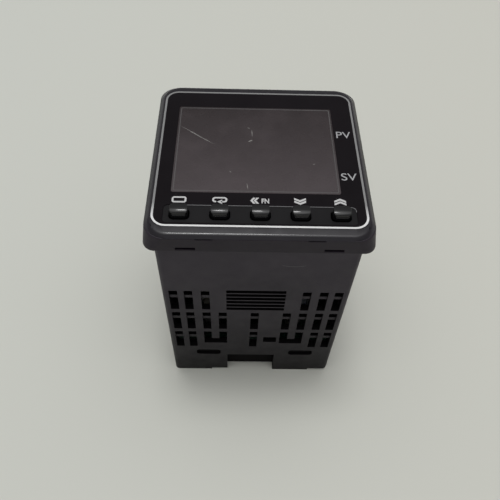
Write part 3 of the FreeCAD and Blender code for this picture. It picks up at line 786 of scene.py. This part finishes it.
# Painted highlight: a grey line, made with the ink finish, that stands for the light caught along the key
# field's edge.
FIELD_HIGHLIGHT = Ink("field_edge", (0.15, 0.15, 0.155), thin=0.4)
FIELD = Moulded("key_field", (0.0105, 0.0100, 0.0110), roughness=0.45, specular=0.12, depth_mm=0.004)
SCUFF = Ink("dull_scuff", (0.10, 0.095, 0.10), thin=0.6)
SCRATCH = Ink("fine_scratch", (0.30, 0.295, 0.28), thin=0.5)
BLOCK = Moulded("terminal_moulding", (0.013, 0.0125, 0.0135), roughness=0.5, specular=0.3)
SCREW = Plated("nickel_screw", (0.66, 0.65, 0.62))
STRIP = Plated("tin_strip", (0.70, 0.67, 0.58), roughness=0.33)
GILT = Plated("gilt_pin", (0.80, 0.58, 0.24), roughness=0.22)
BOARD = Laminate("board_laminate", (0.002, 0.010, 0.006))
SOCKET = Moulded("socket_moulding", (0.028, 0.028, 0.028), roughness=0.45)
CHIP = Moulded("chip_moulding", (0.018, 0.018, 0.019), roughness=0.6, grain_mm=0.08)
PALE = Moulded("pale_moulding", (0.72, 0.72, 0.69), roughness=0.4, mottle=0.04)
FERRITE = Moulded("sintered_ferrite", (0.050, 0.050, 0.055), roughness=0.65, grain_mm=0.3, depth_mm=0.03)
TAPE = Wound("bobbin_tape", (0.022, 0.015, 0.006))
SLEEVE = Wound("capacitor_sleeve", (0.014, 0.015, 0.030), pitch_mm=3.5, roughness=0.3)
BLUE = Moulded("dipped_blue", (0.006, 0.014, 0.040), roughness=0.35, specular=0.6, mottle=0.08)
CELL = Moulded("display_cell", (0.045, 0.047, 0.042), roughness=0.18, specular=0.6, depth_mm=0.001)


# ---- Carried-over solids -------------------------------------------------------------
@dataclass
class Interior:
    """CAD nodes that keep their shape and only take a finish."""

    finishes: dict[str, Finish] = field(default_factory=lambda: {
        "display_lens": PANE, "face_sheet": SHEET, "lcd_glass": CELL, "backlight": PALE,
        "display_board": BOARD, "board_screws": SCREW, "key_switches": SOCKET, "processor": CHIP,
        "terminal_strips": STRIP, "clamp_plates": STRIP, "backplane_board": BOARD,
        "board_sockets": SOCKET, "power_board": BOARD, "control_board": BOARD, "link_headers": SOCKET,
        "link_pins": GILT, "transformer_core": FERRITE, "transformer_bobbin": TAPE,
        "bulk_capacitor": SLEEVE, "filter_capacitors": SLEEVE, "input_choke": FERRITE,
        "varistor": BLUE, "output_relay": BLUE, "alarm_relays": CHIP, "optocouplers": CHIP,
        "plunger_level": PALE, "plunger_cycle": PALE, "plunger_shift": PALE,
        "plunger_down": PALE, "plunger_up": PALE})

    def dress(self) -> None:
        """Gives each node its finish."""
        for name, finish in self.finishes.items():
            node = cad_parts[name]
            for slot in node.material_slots:
                slot.material = finish.material()
            LOG.info("%s: carried over as %s", name, finish.name)


@dataclass
class Shell:
    """A moulding over its CAD solid, with the small edge radius that a mould leaves.

    Edges that the test soft picks get a larger radius, and faces that patched picks a second finish: painted
    shade for recessed faces, and the key field's own matte surface on the bezel.
    """

    node: str
    finish: Finish
    slot: str
    edge_mm: float = 0.15
    segments: int = 2
    angle: float = 32.0
    soft: Test | None = None
    soft_mm: float = 0.0
    patch: Finish | None = None
    patched: Test = lambda place, normal: False
    merge_mm: float = 0.002
    flat_angle: float = 0.6

    def build(self) -> bpy.types.Object:
        """Copies the solid, merges its facets and rounds its sharp edges.

        Returns:
            The finished moulding.
        """
        bench_clear()
        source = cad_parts[self.node]
        made = bpy.data.objects.new(self.node + "_moulding", source.data.copy())
        bpy.context.scene.collection.objects.link(made)
        bpy.context.view_layer.objects.active = made
        made.select_set(True)
        shaper = Shaper(self.node + "_moulding").pick_all().merge(self.merge_mm)
        bpy.ops.mesh.dissolve_limited(angle_limit=math.radians(self.flat_angle))
        if self.soft:
            shaper.pick(Pick.EDGES, self.soft).bevel(self.soft_mm, 4)
        shaper.modifier("BEVEL", width=self.edge_mm * MM, segments=self.segments, limit_method="ANGLE",
                        angle_limit=math.radians(self.angle))
        piece = shaper.finish(self.finish, self.slot)
        shaper.modifier("WEIGHTED_NORMAL", weight=100, keep_sharp=True)
        if self.patch:
            piece.data.materials.append(self.patch.material())
            for face in piece.data.polygons:
                face.material_index = int(self.patched(face.center / MM, face.normal))
        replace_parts(piece, self.node)
        return piece


@dataclass(frozen=True)
class Regions:
    """Where the mouldings take a second finish (painted shade in recesses, the key field's own matte surface)
    or a softer edge.
    """

    case_half: float = 22.4
    side_x: float = 21.0
    rim_z: float = 1.5
    wall_depth: Pair = (0.16, 1.55)
    ratchet_half: float = 7.2
    ratchet_z: Pair = (34.0, 44.0)
    latch_y: float = 20.4
    crease_z: float = 65.8
    crease_reach: float = 18.0
    crease_band: float = 0.02
    level: float = 0.01
    facing: float = 0.5
    field_half: float = 20.2
    field_y: Pair = (-20.5, -15.5)
    field_z: Pair = (64.0, 65.95)

    def shaded_in_wall(self, place: Vector, normal: Vector) -> bool:
        """Whether a face of the housing lies inside a vent, a slot or the ratchet, where it takes painted
        shade.

        Args:
            place: middle of the face, in millimetres.
            normal: its direction.

        Returns:
            True inside the +Y or the -Y wall.
        """
        depth = self.case_half - abs(place.y)
        in_ratchet = abs(place.x) < self.ratchet_half and self.ratchet_z[0] < place.z < self.ratchet_z[1]
        in_depth = self.wall_depth[0] < depth < self.wall_depth[1]
        between = in_depth and abs(place.x) < self.side_x and place.z > self.rim_z
        return between and (abs(normal.y) < self.facing or in_ratchet)

    def shaded_behind_slot(self, place: Vector, normal: Vector) -> bool:
        """Whether a face of the terminal block shows only through the housing's slots, where it takes painted
        shade.
        """
        return abs(place.y) > self.latch_y and place.z > self.rim_z

    def on_crease(self, place: Vector, along: Vector) -> bool:
        """Whether an edge belongs to the crease round the bezel."""
        level = abs(place.z - self.crease_z) < self.crease_band and abs(along.z) < self.level
        return level and max(abs(place.x), abs(place.y)) > self.crease_reach

    def in_key_field(self, place: Vector, normal: Vector) -> bool:
        """Whether a face of the bezel belongs to the key field."""
        inside = abs(place.x) < self.field_half and self.field_y[0] < place.y < self.field_y[1]
        return inside and self.field_z[0] < place.z < self.field_z[1]


# ---- Front ---------------------------------------------------------------------------
@dataclass(frozen=True)
class Letters:
    """Printed letters and the box that they fill."""

    name: str
    words: str
    x: Pair
    y: Pair
    ink: Ink = LETTER_INK
    weight: float = 0.0


@dataclass(frozen=True)
class Chevrons:
    """A pair of chevrons over one key."""

    name: str
    x: float
    turned: float = 0.0
    sideways: bool = False
    half: float = 1.25
    drop: float = 0.64
    gap: float = 0.37


@dataclass
class FrontPrint:
    """Ink on the front sheet: border line, key marks and letters."""

    line_half: Pair = (22.6, 21.4)
    line_corner: float = 3.15
    line_width: float = 0.45
    rise: float = 0.015
    stroke: float = 0.40
    mark_y: float = -14.2
    level_x: float = -17.05
    level_size: Pair = (3.1, 1.7)
    level_corner: float = 0.55
    cycle_x: float = -8.5
    cycle_rise: float = 0.1
    cycle_size: Pair = (3.2, 1.5)
    cycle_corner: float = 0.7
    cycle_gap: Pair = (-0.75, 0.25)
    arrow_step: Pair = (0.15, -0.57)
    arrow_radius: float = 0.72
    chevron_thick: float = 0.54
    chevrons: tuple[Chevrons, ...] = (
        Chevrons("mark_shift", -1.15, -90.0, sideways=True, half=0.84, drop=0.62, gap=0.36),
        Chevrons("mark_down", 8.45),
        Chevrons("mark_up", 16.95, 180.0))
    letter_size: float = 3.0
    letter_merge: float = 0.001
    letters: tuple[Letters, ...] = (
        Letters("letters_pv", "PV", (18.05, 21.4), (5.6, 7.75)),
        Letters("letters_sv", "SV", (17.9, 21.35), (-7.9, -5.75)),
        Letters("letters_fn", "FN", (0.30, 1.90), (-14.95, -13.60), MARK_INK, 0.09))

    def ring(self, name: str, centre: Pair, size: Pair, corner: float, width: float) -> Shaper:
        """Flat rounded-rectangle outline.

        Args:
            name: name of the piece.
            centre: its middle on the sheet.
            size: its outer width and height.
            corner: its outer corner radius.
            width: width of the line.

        Returns:
            The shaper that holds the flat outline.
        """
        made = Shaper.sheet(name, (*centre, FACE_Z), size).pick_all().bevel(corner, 10, corners=True)
        made.pick_faces().inset(width)
        made.pick(Pick.FACES, lambda place, normal: (place.xy - Vector(centre)).length < NEAR)
        return made.delete(Pick.FACES)

    def raised(self, made: Shaper) -> Shaper:
        """Gives flat ink its thickness."""
        return made.pick_faces().extrude((0, 0, self.rise))

    def border(self) -> None:
        """White line round the sheet."""
        size = (2 * self.line_half[0], 2 * self.line_half[1])
        made = self.ring("border_line", (0.0, 0.0), size, self.line_corner, self.line_width)
        self.raised(made).finish(LINE_INK, "sheet_print")

    def level_mark(self) -> None:
        """Outline mark over the first key."""
        centre = (self.level_x, self.mark_y)
        made = self.ring("mark_level", centre, self.level_size, self.level_corner, self.stroke)
        self.raised(made).finish(MARK_INK, "sheet_print")

    def cycle_mark(self) -> None:
        """Loop with an arrow over the second key."""
        x, y = self.cycle_x, self.mark_y + self.cycle_rise
        left, right = x + self.cycle_gap[0], x + self.cycle_gap[1]
        made = self.ring("mark_cycle", (x, y), self.cycle_size, self.cycle_corner, self.stroke)
        for cut in (left, right):
            made.slice((cut, y, FACE_Z), (1.0, 0.0, 0.0))
        made.pick(Pick.FACES, lambda place, normal: left < place.x < right and place.y < y)
        made.delete(Pick.FACES)
        bench_clear()
        tip = (x + self.arrow_step[0], y + self.arrow_step[1], FACE_Z)
        bpy.ops.mesh.primitive_circle_add(vertices=3, radius=self.arrow_radius * MM, fill_type="NGON",
                                          location=[v * MM for v in tip])
        head = Shaper("mark_arrow").settled().pick_all().turn(90.0, Axis.Z, tip)
        made.join([head])
        self.raised(made).finish(MARK_INK, "sheet_print")

    def chevron(self, mark: Chevrons, centre: Pair) -> Shaper:
        """One flat chevron, bent from a strip.

        Args:
            mark: the pair that it belongs to.
            centre: its middle.

        Returns:
            The shaper that holds the flat chevron.
        """
        x, y = centre
        size = (2 * mark.half, self.chevron_thick)
        strip = Shaper.sheet(mark.name + "_part", (x, y + mark.drop / 2, FACE_Z), size)
        strip.slice((x, y, FACE_Z), (1.0, 0.0, 0.0))
        strip.pick(Pick.VERTS, lambda place, normal: abs(place.x - x) < NEAR).move((0, -mark.drop, 0))
        return strip.pick_all().turn(mark.turned, Axis.Z, (x, y, FACE_Z))

    def arrows(self) -> None:
        """Double chevrons over the last three keys."""
        for mark in self.chevrons:
            right, up = (mark.gap, 0.0) if mark.sideways else (0.0, mark.gap)
            places = ((mark.x - right, self.mark_y - up), (mark.x + right, self.mark_y + up))
            pair = [self.chevron(mark, place) for place in places]
            made = pair[0].join(pair[1:])
            made.piece.name = mark.name
            self.raised(made).finish(MARK_INK, "sheet_print")

    def lettering(self) -> None:
        """The letters, fitted to their boxes."""
        for item in self.letters:
            bench_clear()
            bpy.ops.object.text_add(location=(0.0, 0.0, 0.0))
            text = bpy.context.object.data
            text.body = item.words
            text.size = self.letter_size * MM
            text.extrude = self.rise / 2 * MM
            text.offset = item.weight * MM
            bpy.ops.object.convert(target="MESH")
            made = Shaper(item.name)
            box = [Vector(corner) / MM for corner in made.piece.bound_box]
            least = Vector([min(corner[i] for corner in box) for i in range(3)])
            most = Vector([max(corner[i] for corner in box) for i in range(3)])
            middle_z = FACE_Z + self.rise / 2
            made.pick_all().move((item.x[0] - least.x, item.y[0] - least.y, middle_z))
            wide = (item.x[1] - item.x[0]) / (most.x - least.x)
            high = (item.y[1] - item.y[0]) / (most.y - least.y)
            made.stretch((wide, high, 1.0), (item.x[0], item.y[0], middle_z)).merge(self.letter_merge)
            made.finish(item.ink, "sheet_print")

    def build(self) -> None:
        """Prints the whole front."""
        self.border()
        self.level_mark()
        self.cycle_mark()
        self.arrows()
        self.lettering()


@dataclass(frozen=True)
class Scratch:
    """A straight scratch on the window."""

    start: Pair
    end: Pair
    width: float


@dataclass
class Window:
    """Painted highlight along the display window's step edge, and the fine scratches on it."""

    x: Pair = (-19.0, 17.4)
    y: Pair = (-12.05, 15.7)
    margin: float = 0.35
    corner: float = 0.5
    edge: float = 0.22
    edge_rise: float = 0.012
    scratch_rise: float = 0.006
    tip_from: float = 0.4
    tip_share: float = 0.15
    scratches: tuple[Scratch, ...] = (
        Scratch((-18.5, 8.9), (-10.3, 2.8), 0.10), Scratch((-16.2, 7.1), (-11.2, 3.4), 0.17),
        Scratch((-1.7, 7.9), (-1.55, 5.6), 0.14), Scratch((-2.5, 3.8), (-1.5, 4.4), 0.24),
        Scratch((-2.8, -9.2), (-2.6, -11.0), 0.11), Scratch((-6.6, -5.6), (-6.3, -6.1), 0.14),
        Scratch((12.0, -3.3), (12.4, -2.9), 0.16), Scratch((-2.7, 8.6), (-2.1, 8.2), 0.10))

    def edge_line(self) -> None:
        """Narrow raised line inside the window, painted lighter as a highlight along its step edge."""
        size = (self.x[1] - self.x[0] - 2 * self.margin, self.y[1] - self.y[0] - 2 * self.margin)
        centre = ((self.x[0] + self.x[1]) / 2, (self.y[0] + self.y[1]) / 2)
        printer = FrontPrint(rise=self.edge_rise)
        line = printer.ring("window_edge_line", centre, size, self.corner, self.edge)
        printer.raised(line).finish(PANE_HIGHLIGHT, "smoked_lens")

    def scratch(self, index: int, mark: Scratch) -> None:
        """One fine scratch, pointed at both ends.

        Args:
            index: its number.
            mark: where it runs and how wide it is.
        """
        run = Vector(mark.end) - Vector(mark.start)
        middle = (Vector(mark.start) + Vector(mark.end)) / 2
        centre = (middle.x, middle.y, FACE_Z)
        made = Shaper.sheet("window_scratch_%02d" % index, centre, (run.length, mark.width))
        made.slice(centre, (1.0, 0.0, 0.0))
        made.pick(Pick.VERTS, lambda place, normal: abs(place.x - middle.x) > run.length * self.tip_from)
        made.stretch((1.0, self.tip_share, 1.0), centre)
        made.pick_all().turn(math.degrees(math.atan2(run.y, run.x)), Axis.Z, centre)
        made.pick_faces().extrude((0, 0, self.scratch_rise))
        made.finish(SCRATCH, "smoked_lens")

    def build(self) -> None:
        """Makes the edge and the scratches."""
        self.edge_line()
        for index, mark in enumerate(self.scratches, 1):
            self.scratch(index, mark)


@dataclass
class KeyRow:
    """Five small glossy keys with a crowned top and finely rounded edges."""

    names: tuple[str, ...] = ("level", "cycle", "shift", "down", "up")
    pitch: float = 8.4
    row_y: float = -18.1
    width: float = 3.75
    length: float = 2.4
    corner: float = 0.75
    top_z: float = 67.9
    body_low_z: float = 64.35
    straight: float = 1.0
    crown: float = 0.45
    edge: float = 0.16
    edge_angle: float = 45.0
    ear_z: Pair = (63.55, 64.35)
    ear: float = 0.9
    ear_corner: float = 0.2
    post: float = 2.0
    post_low_z: float = 61.2
    slices: int = 6

    def cap(self, name: str, x: float) -> Shaper:
        """Body of one key.

        Args:
            name: name of the piece.
            x: middle of the key.

        Returns:
            The shaper that holds it.
        """
        low = (x - self.width / 2, self.row_y - self.length / 2, self.body_low_z)
        high = (x + self.width / 2, self.row_y + self.length / 2, self.top_z)
        made = Shaper.block(name, low, high).round_upright(self.corner, 6)
        depth = self.length / 2
        upper_z = self.body_low_z + self.straight
        for step in range(self.slices):
            made.slice((x, self.row_y - depth * step / self.slices, self.top_z), (0.0, 1.0, 0.0))
        for step in range(1, self.slices + 1):
            line = self.row_y - depth * (step - 0.5) / self.slices
            fall = self.crown * (step ** 2 - (step - 1) ** 2) / self.slices ** 2
            made.pick(Pick.VERTS, lambda place, normal: place.z > upper_z and place.y < line)
            made.move((0, 0, -fall))
        return made.pick_ridges(upper_z, self.edge_angle).bevel(self.edge, 4)

    def build(self) -> None:
        """Makes the five keys and puts them on their bodies."""
        low_y, high_y = self.row_y - self.length / 2, self.row_y + self.length / 2
        side = self.post / 2
        for index, key in enumerate(self.names):
            x = self.pitch * (index - (len(self.names) - 1) / 2)
            half = self.width / 2 + self.ear
            made = self.cap("cap_" + key, x)
            ear = Shaper.block("ear", (x - half, low_y, self.ear_z[0]), (x + half, high_y, self.ear_z[1]))
            ear.round_upright(self.ear_corner, 2)
            post = Shaper.block("post", (x - side, self.row_y - side, self.post_low_z),
                                (x + side, self.row_y + side, self.ear_z[0]))
            post.round_upright(self.ear_corner, 2)
            piece = made.join([ear, post]).finish(KEY, "key_black", key + "_key", 50.0)
            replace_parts(piece, "key_" + key)


@dataclass
class KeyFieldHighlight:
    """Painted highlight: a fine bright line along the edge of the raised field round the keys."""

    y: Pair = (-20.4, -15.6)
    half: float = 20.2
    corner: float = 1.0
    width: float = 0.14
    z: float = 65.88
    rise: float = 0.10
    start_x: float = -15.6
    end_y: float = -16.9

    def build(self) -> None:
        """Makes the painted highlight line along the top edge of the field and round its right end."""
        centre = (0.0, sum(self.y) / 2, self.z)
        made = Shaper.sheet("key_field_edge", centre, (2 * self.half, self.y[1] - self.y[0]))
        made.pick_all().bevel(self.corner, 8, corners=True)
        made.pick_faces().inset(self.width)
        made.pick(Pick.FACES, lambda place, normal: (place - Vector(centre)).length < NEAR)
        made.delete(Pick.FACES)
        made.slice((self.start_x, 0, self.z), (1.0, 0.0, 0.0)).slice((0, self.end_y, self.z), (0.0, 1.0, 0.0))
        made.pick(Pick.FACES, lambda place, normal: place.x < self.start_x or place.y < self.end_y)
        made.delete(Pick.FACES)
        made.pick_faces().extrude((0, 0, self.rise))
        made.finish(FIELD_HIGHLIGHT, "bezel_plastic")


# ---- Rear ----------------------------------------------------------------------------
@dataclass
class TerminalScrews:
    """Cross-recessed screws, heads to the rear."""

    columns: tuple[float, ...] = (-13.4, 0.0, 13.4)
    rows: int = 6
    pitch: float = 6.4
    head: float = 2.3
    head_z: Pair = (5.4, 7.3)
    head_round: float = 0.35
    overrun: float = 1.0
    shank: float = 1.48
    shank_end: float = 13.4
    slot: Pair = (2.9, 0.62)
    slot_taper: Pair = (0.45, 0.8)
    recess: float = 1.1
    first_turn: float = 17.0
    turn_step: float = 37.0

    def master(self) -> Shaper:
        """One screw at the middle of the rear.

        Returns:
            The shaper that holds it.
        """
        low, high = self.head_z
        made = Shaper.round("terminal_screw", (0.0, 0.0, (low + high) / 2), self.head, high - low, 32)
        made.pick(Pick.EDGES, lambda place, along: place.z < low + NEAR and place.xy.length > self.shank)
        made.bevel(self.head_round, 4)
        made.pick_tops().inset(self.head - self.shank).extrude((0, 0, self.shank_end - high))
        made.leave_edit()
        half_x, half_y = self.slot[0] / 2, self.slot[1] / 2
        for turned in (0.0, 90.0):
            tool = Shaper.block("slot_tool", (-half_x, -half_y, low - self.overrun),
                                (half_x, half_y, low + self.recess))
            tool.pick_tops().stretch((*self.slot_taper, 1.0), (0, 0, low))
            tool.pick_all().turn(turned, Axis.Z, (0, 0, 0))
            tool.leave_edit()
            made.modifier("BOOLEAN", object=tool.piece, operation="DIFFERENCE", solver="EXACT")
            bpy.data.objects.remove(tool.piece)
        return made

    def build(self) -> None:
        """Makes the master, then a copy at every other terminal."""
        master = self.master()
        number = 0
        for column in self.columns:
            for row in range(self.rows):
                number += 1
                made = bpy.data.objects.new("terminal_screw_%02d" % number, master.piece.data.copy())
                bpy.context.scene.collection.objects.link(made)
                bench_clear()
                bpy.context.view_layer.objects.active = made
                made.select_set(True)
                y = self.pitch * (row - (self.rows - 1) / 2)
                turned = self.first_turn + self.turn_step * number
                shaper = Shaper(made.name).pick_all().turn(turned, Axis.Z, (0, 0, 0)).move((column, y, 0))
                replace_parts(shaper.finish(SCREW, "screw_steel", angle=40.0), "terminal_screws")
        bpy.data.objects.remove(master.piece)


@dataclass
class Wear:
    """A curved scratch on the lower wall of the housing."""

    centre: Point = (7.9, -22.39, 61.5)
    radius: float = 7.9
    span: float = 38.0
    width: float = 0.10
    rise: float = 0.01
    steps: int = 14

    def build(self) -> None:
        """Spins a small plane round into the scratch."""
        x, y, z = self.centre
        low = (x, y, z - self.radius)
        bench_clear()
        bpy.ops.mesh.primitive_plane_add(size=1.0, location=[v * MM for v in low])
        bpy.context.object.scale = (self.rise * MM, self.width * MM, 1.0)
        made = Shaper("case_scratch").settled()
        made.pick_all().turn(90.0, Axis.X, low).turn(90.0, Axis.Z, low)
        made.turn(self.span / 2, Axis.Y, self.centre)
        bpy.ops.mesh.spin(steps=self.steps, angle=math.radians(self.span), center=(x * MM, y * MM, z * MM),
                          axis=(0, 1, 0))
        made.finish(SCUFF, "case_plastic")


# ---- Studio --------------------------------------------------------------------------
@dataclass
class Studio:
    """Floor, lamps and camera."""

    floor_colour: Colour = (0.60, 0.61, 0.565)
    floor_cool: Colour = (0.600, 0.618, 0.575)
    floor_warm: Colour = (0.610, 0.605, 0.545)
    floor_size: float = 3000.0
    sky: float = 2.29
    sky_tones: tuple[Pair, ...] = (
        (0.0, 0.24), (0.20, 0.24), (0.36, 0.10), (0.50, 0.12), (0.80, 0.22), (0.93, 0.62), (1.0, 1.0))
    zenith: Point = (0.0, 0.0, 1.0)
    lamp_watts: float = 3.4
    lamp_place: Point = (-50.0, 110.0, 1235.0)
    lamp_size: float = 260.0
    focal_mm: float = 40.128
    sensor_mm: float = 36.0
    turn: float = -0.040
    tilt: float = 0.934
    roll: float = 0.047
    aim: Point = (-1.104, -0.540, 30.0)
    distance: float = 154.531

    def floor(self) -> None:
        """Plain pale floor with a faint warm and cool drift."""
        bench_clear()
        bpy.ops.mesh.primitive_plane_add(size=self.floor_size * MM, location=(0.0, 0.0, 0.0))
        ground = Shaper("floor").settled()
        graph = Graph("floor_paint")
        drift = graph.spread(graph.axis(Axis.X), (-0.25, 0.25), (0.0, 1.0))
        blotch = graph.spread(graph.noise(160.0, 2.0), (0.35, 0.65), (0.0, 0.12))
        graph.paint(graph.mix(blotch, graph.mix(drift, self.floor_cool, self.floor_warm), self.floor_colour))
        graph.set("Roughness", 0.9)
        graph.set("Specular IOR Level", 0.1)
        ground.piece.data.materials.append(graph.made)

    def world(self) -> None:
        """A soft sky, dark in its middle heights, that brightens overhead."""
        made = bpy.data.worlds.new("sky")
        made.use_nodes = True
        tree = made.node_tree
        background = next(node for node in tree.nodes if node.type == "BACKGROUND")
        background.inputs["Strength"].default_value = self.sky
        place = tree.nodes.new("ShaderNodeTexCoord")
        height = tree.nodes.new("ShaderNodeVectorMath")
        height.operation = "DOT_PRODUCT"
        height.inputs[1].default_value = self.zenith
        tones = tree.nodes.new("ShaderNodeValToRGB")
        for position, _ in self.sky_tones[1:-1]:
            tones.color_ramp.elements.new(position)
        for element, (position, tone) in zip(tones.color_ramp.elements, self.sky_tones):
            element.position = position
            element.color = (tone, tone, tone, 1.0)
        tree.links.new(place.outputs["Generated"], height.inputs[0])
        tree.links.new(height.outputs["Value"], tones.inputs["Fac"])
        tree.links.new(tones.outputs["Color"], background.inputs["Color"])
        bpy.context.scene.world = made

    def lamp(self) -> None:
        """One large square panel overhead, turned to the part."""
        panel = bpy.data.lights.new("panel", "AREA")
        panel.shape = "SQUARE"
        panel.size = self.lamp_size * MM
        panel.energy = self.lamp_watts
        made = bpy.data.objects.new("panel", panel)
        made.location = [v * MM for v in self.lamp_place]
        made.rotation_mode = "QUATERNION"
        made.rotation_quaternion = (-Vector(self.lamp_place)).to_track_quat("-Z", "Y")
        bpy.context.scene.collection.objects.link(made)

    def camera(self) -> None:
        """Camera at its stand point, a little rolled."""
        flat = math.cos(self.tilt)
        back = Vector((math.sin(self.turn) * flat, -math.cos(self.turn) * flat, math.sin(self.tilt)))
        right = Vector(self.zenith).cross(back).normalized()
        above = back.cross(right)
        level = right * math.cos(self.roll) + above * math.sin(self.roll)
        upright = above * math.cos(self.roll) - right * math.sin(self.roll)
        data = bpy.data.cameras.new("camera")
        data.sensor_width = self.sensor_mm
        data.lens = self.focal_mm
        data.clip_start, data.clip_end = 0.005, 20.0
        made = bpy.data.objects.new("camera", data)
        stand = Matrix.Translation((Vector(self.aim) + back * self.distance) * MM)
        made.matrix_world = stand @ Matrix((level, upright, back)).transposed().to_4x4()
        bpy.context.scene.collection.objects.link(made)
        bpy.context.scene.camera = made

    def build(self) -> None:
        """Sets up the whole studio."""
        self.floor()
        self.world()
        self.lamp()
        self.camera()
        bpy.context.scene.view_settings.view_transform = "Standard"


def main() -> None:
    """Builds and reports every sub-assembly."""
    logging.basicConfig(level=logging.INFO, format="%(name)s: %(message)s")
    regions = Regions()
    Studio().build()
    Interior().dress()
    # Faces inside the housing's vents, slots and ratchet take painted shade.
    Shell("rear_case", CASE, "case_plastic", 0.14, patch=RECESS_SHADE, patched=regions.shaded_in_wall).build()
    Shell("front_collar", COLLAR, "collar_plastic", 0.16).build()
    Shell("front_bezel", BEZEL, "bezel_plastic", 0.10, segments=3, angle=40.0, soft=regions.on_crease,
          soft_mm=0.25, patch=FIELD, patched=regions.in_key_field).build()
    # The block's faces seen through the housing's slots take painted shade.
    Shell("terminal_block", BLOCK, "block_plastic", 0.12, patch=RECESS_SHADE, patched=regions.shaded_behind_slot).build()
    FrontPrint().build()
    Window().build()
    KeyFieldHighlight().build()
    KeyRow().build()
    TerminalScrews().build()
    Wear().build()


if __name__ == "__main__":
    main()
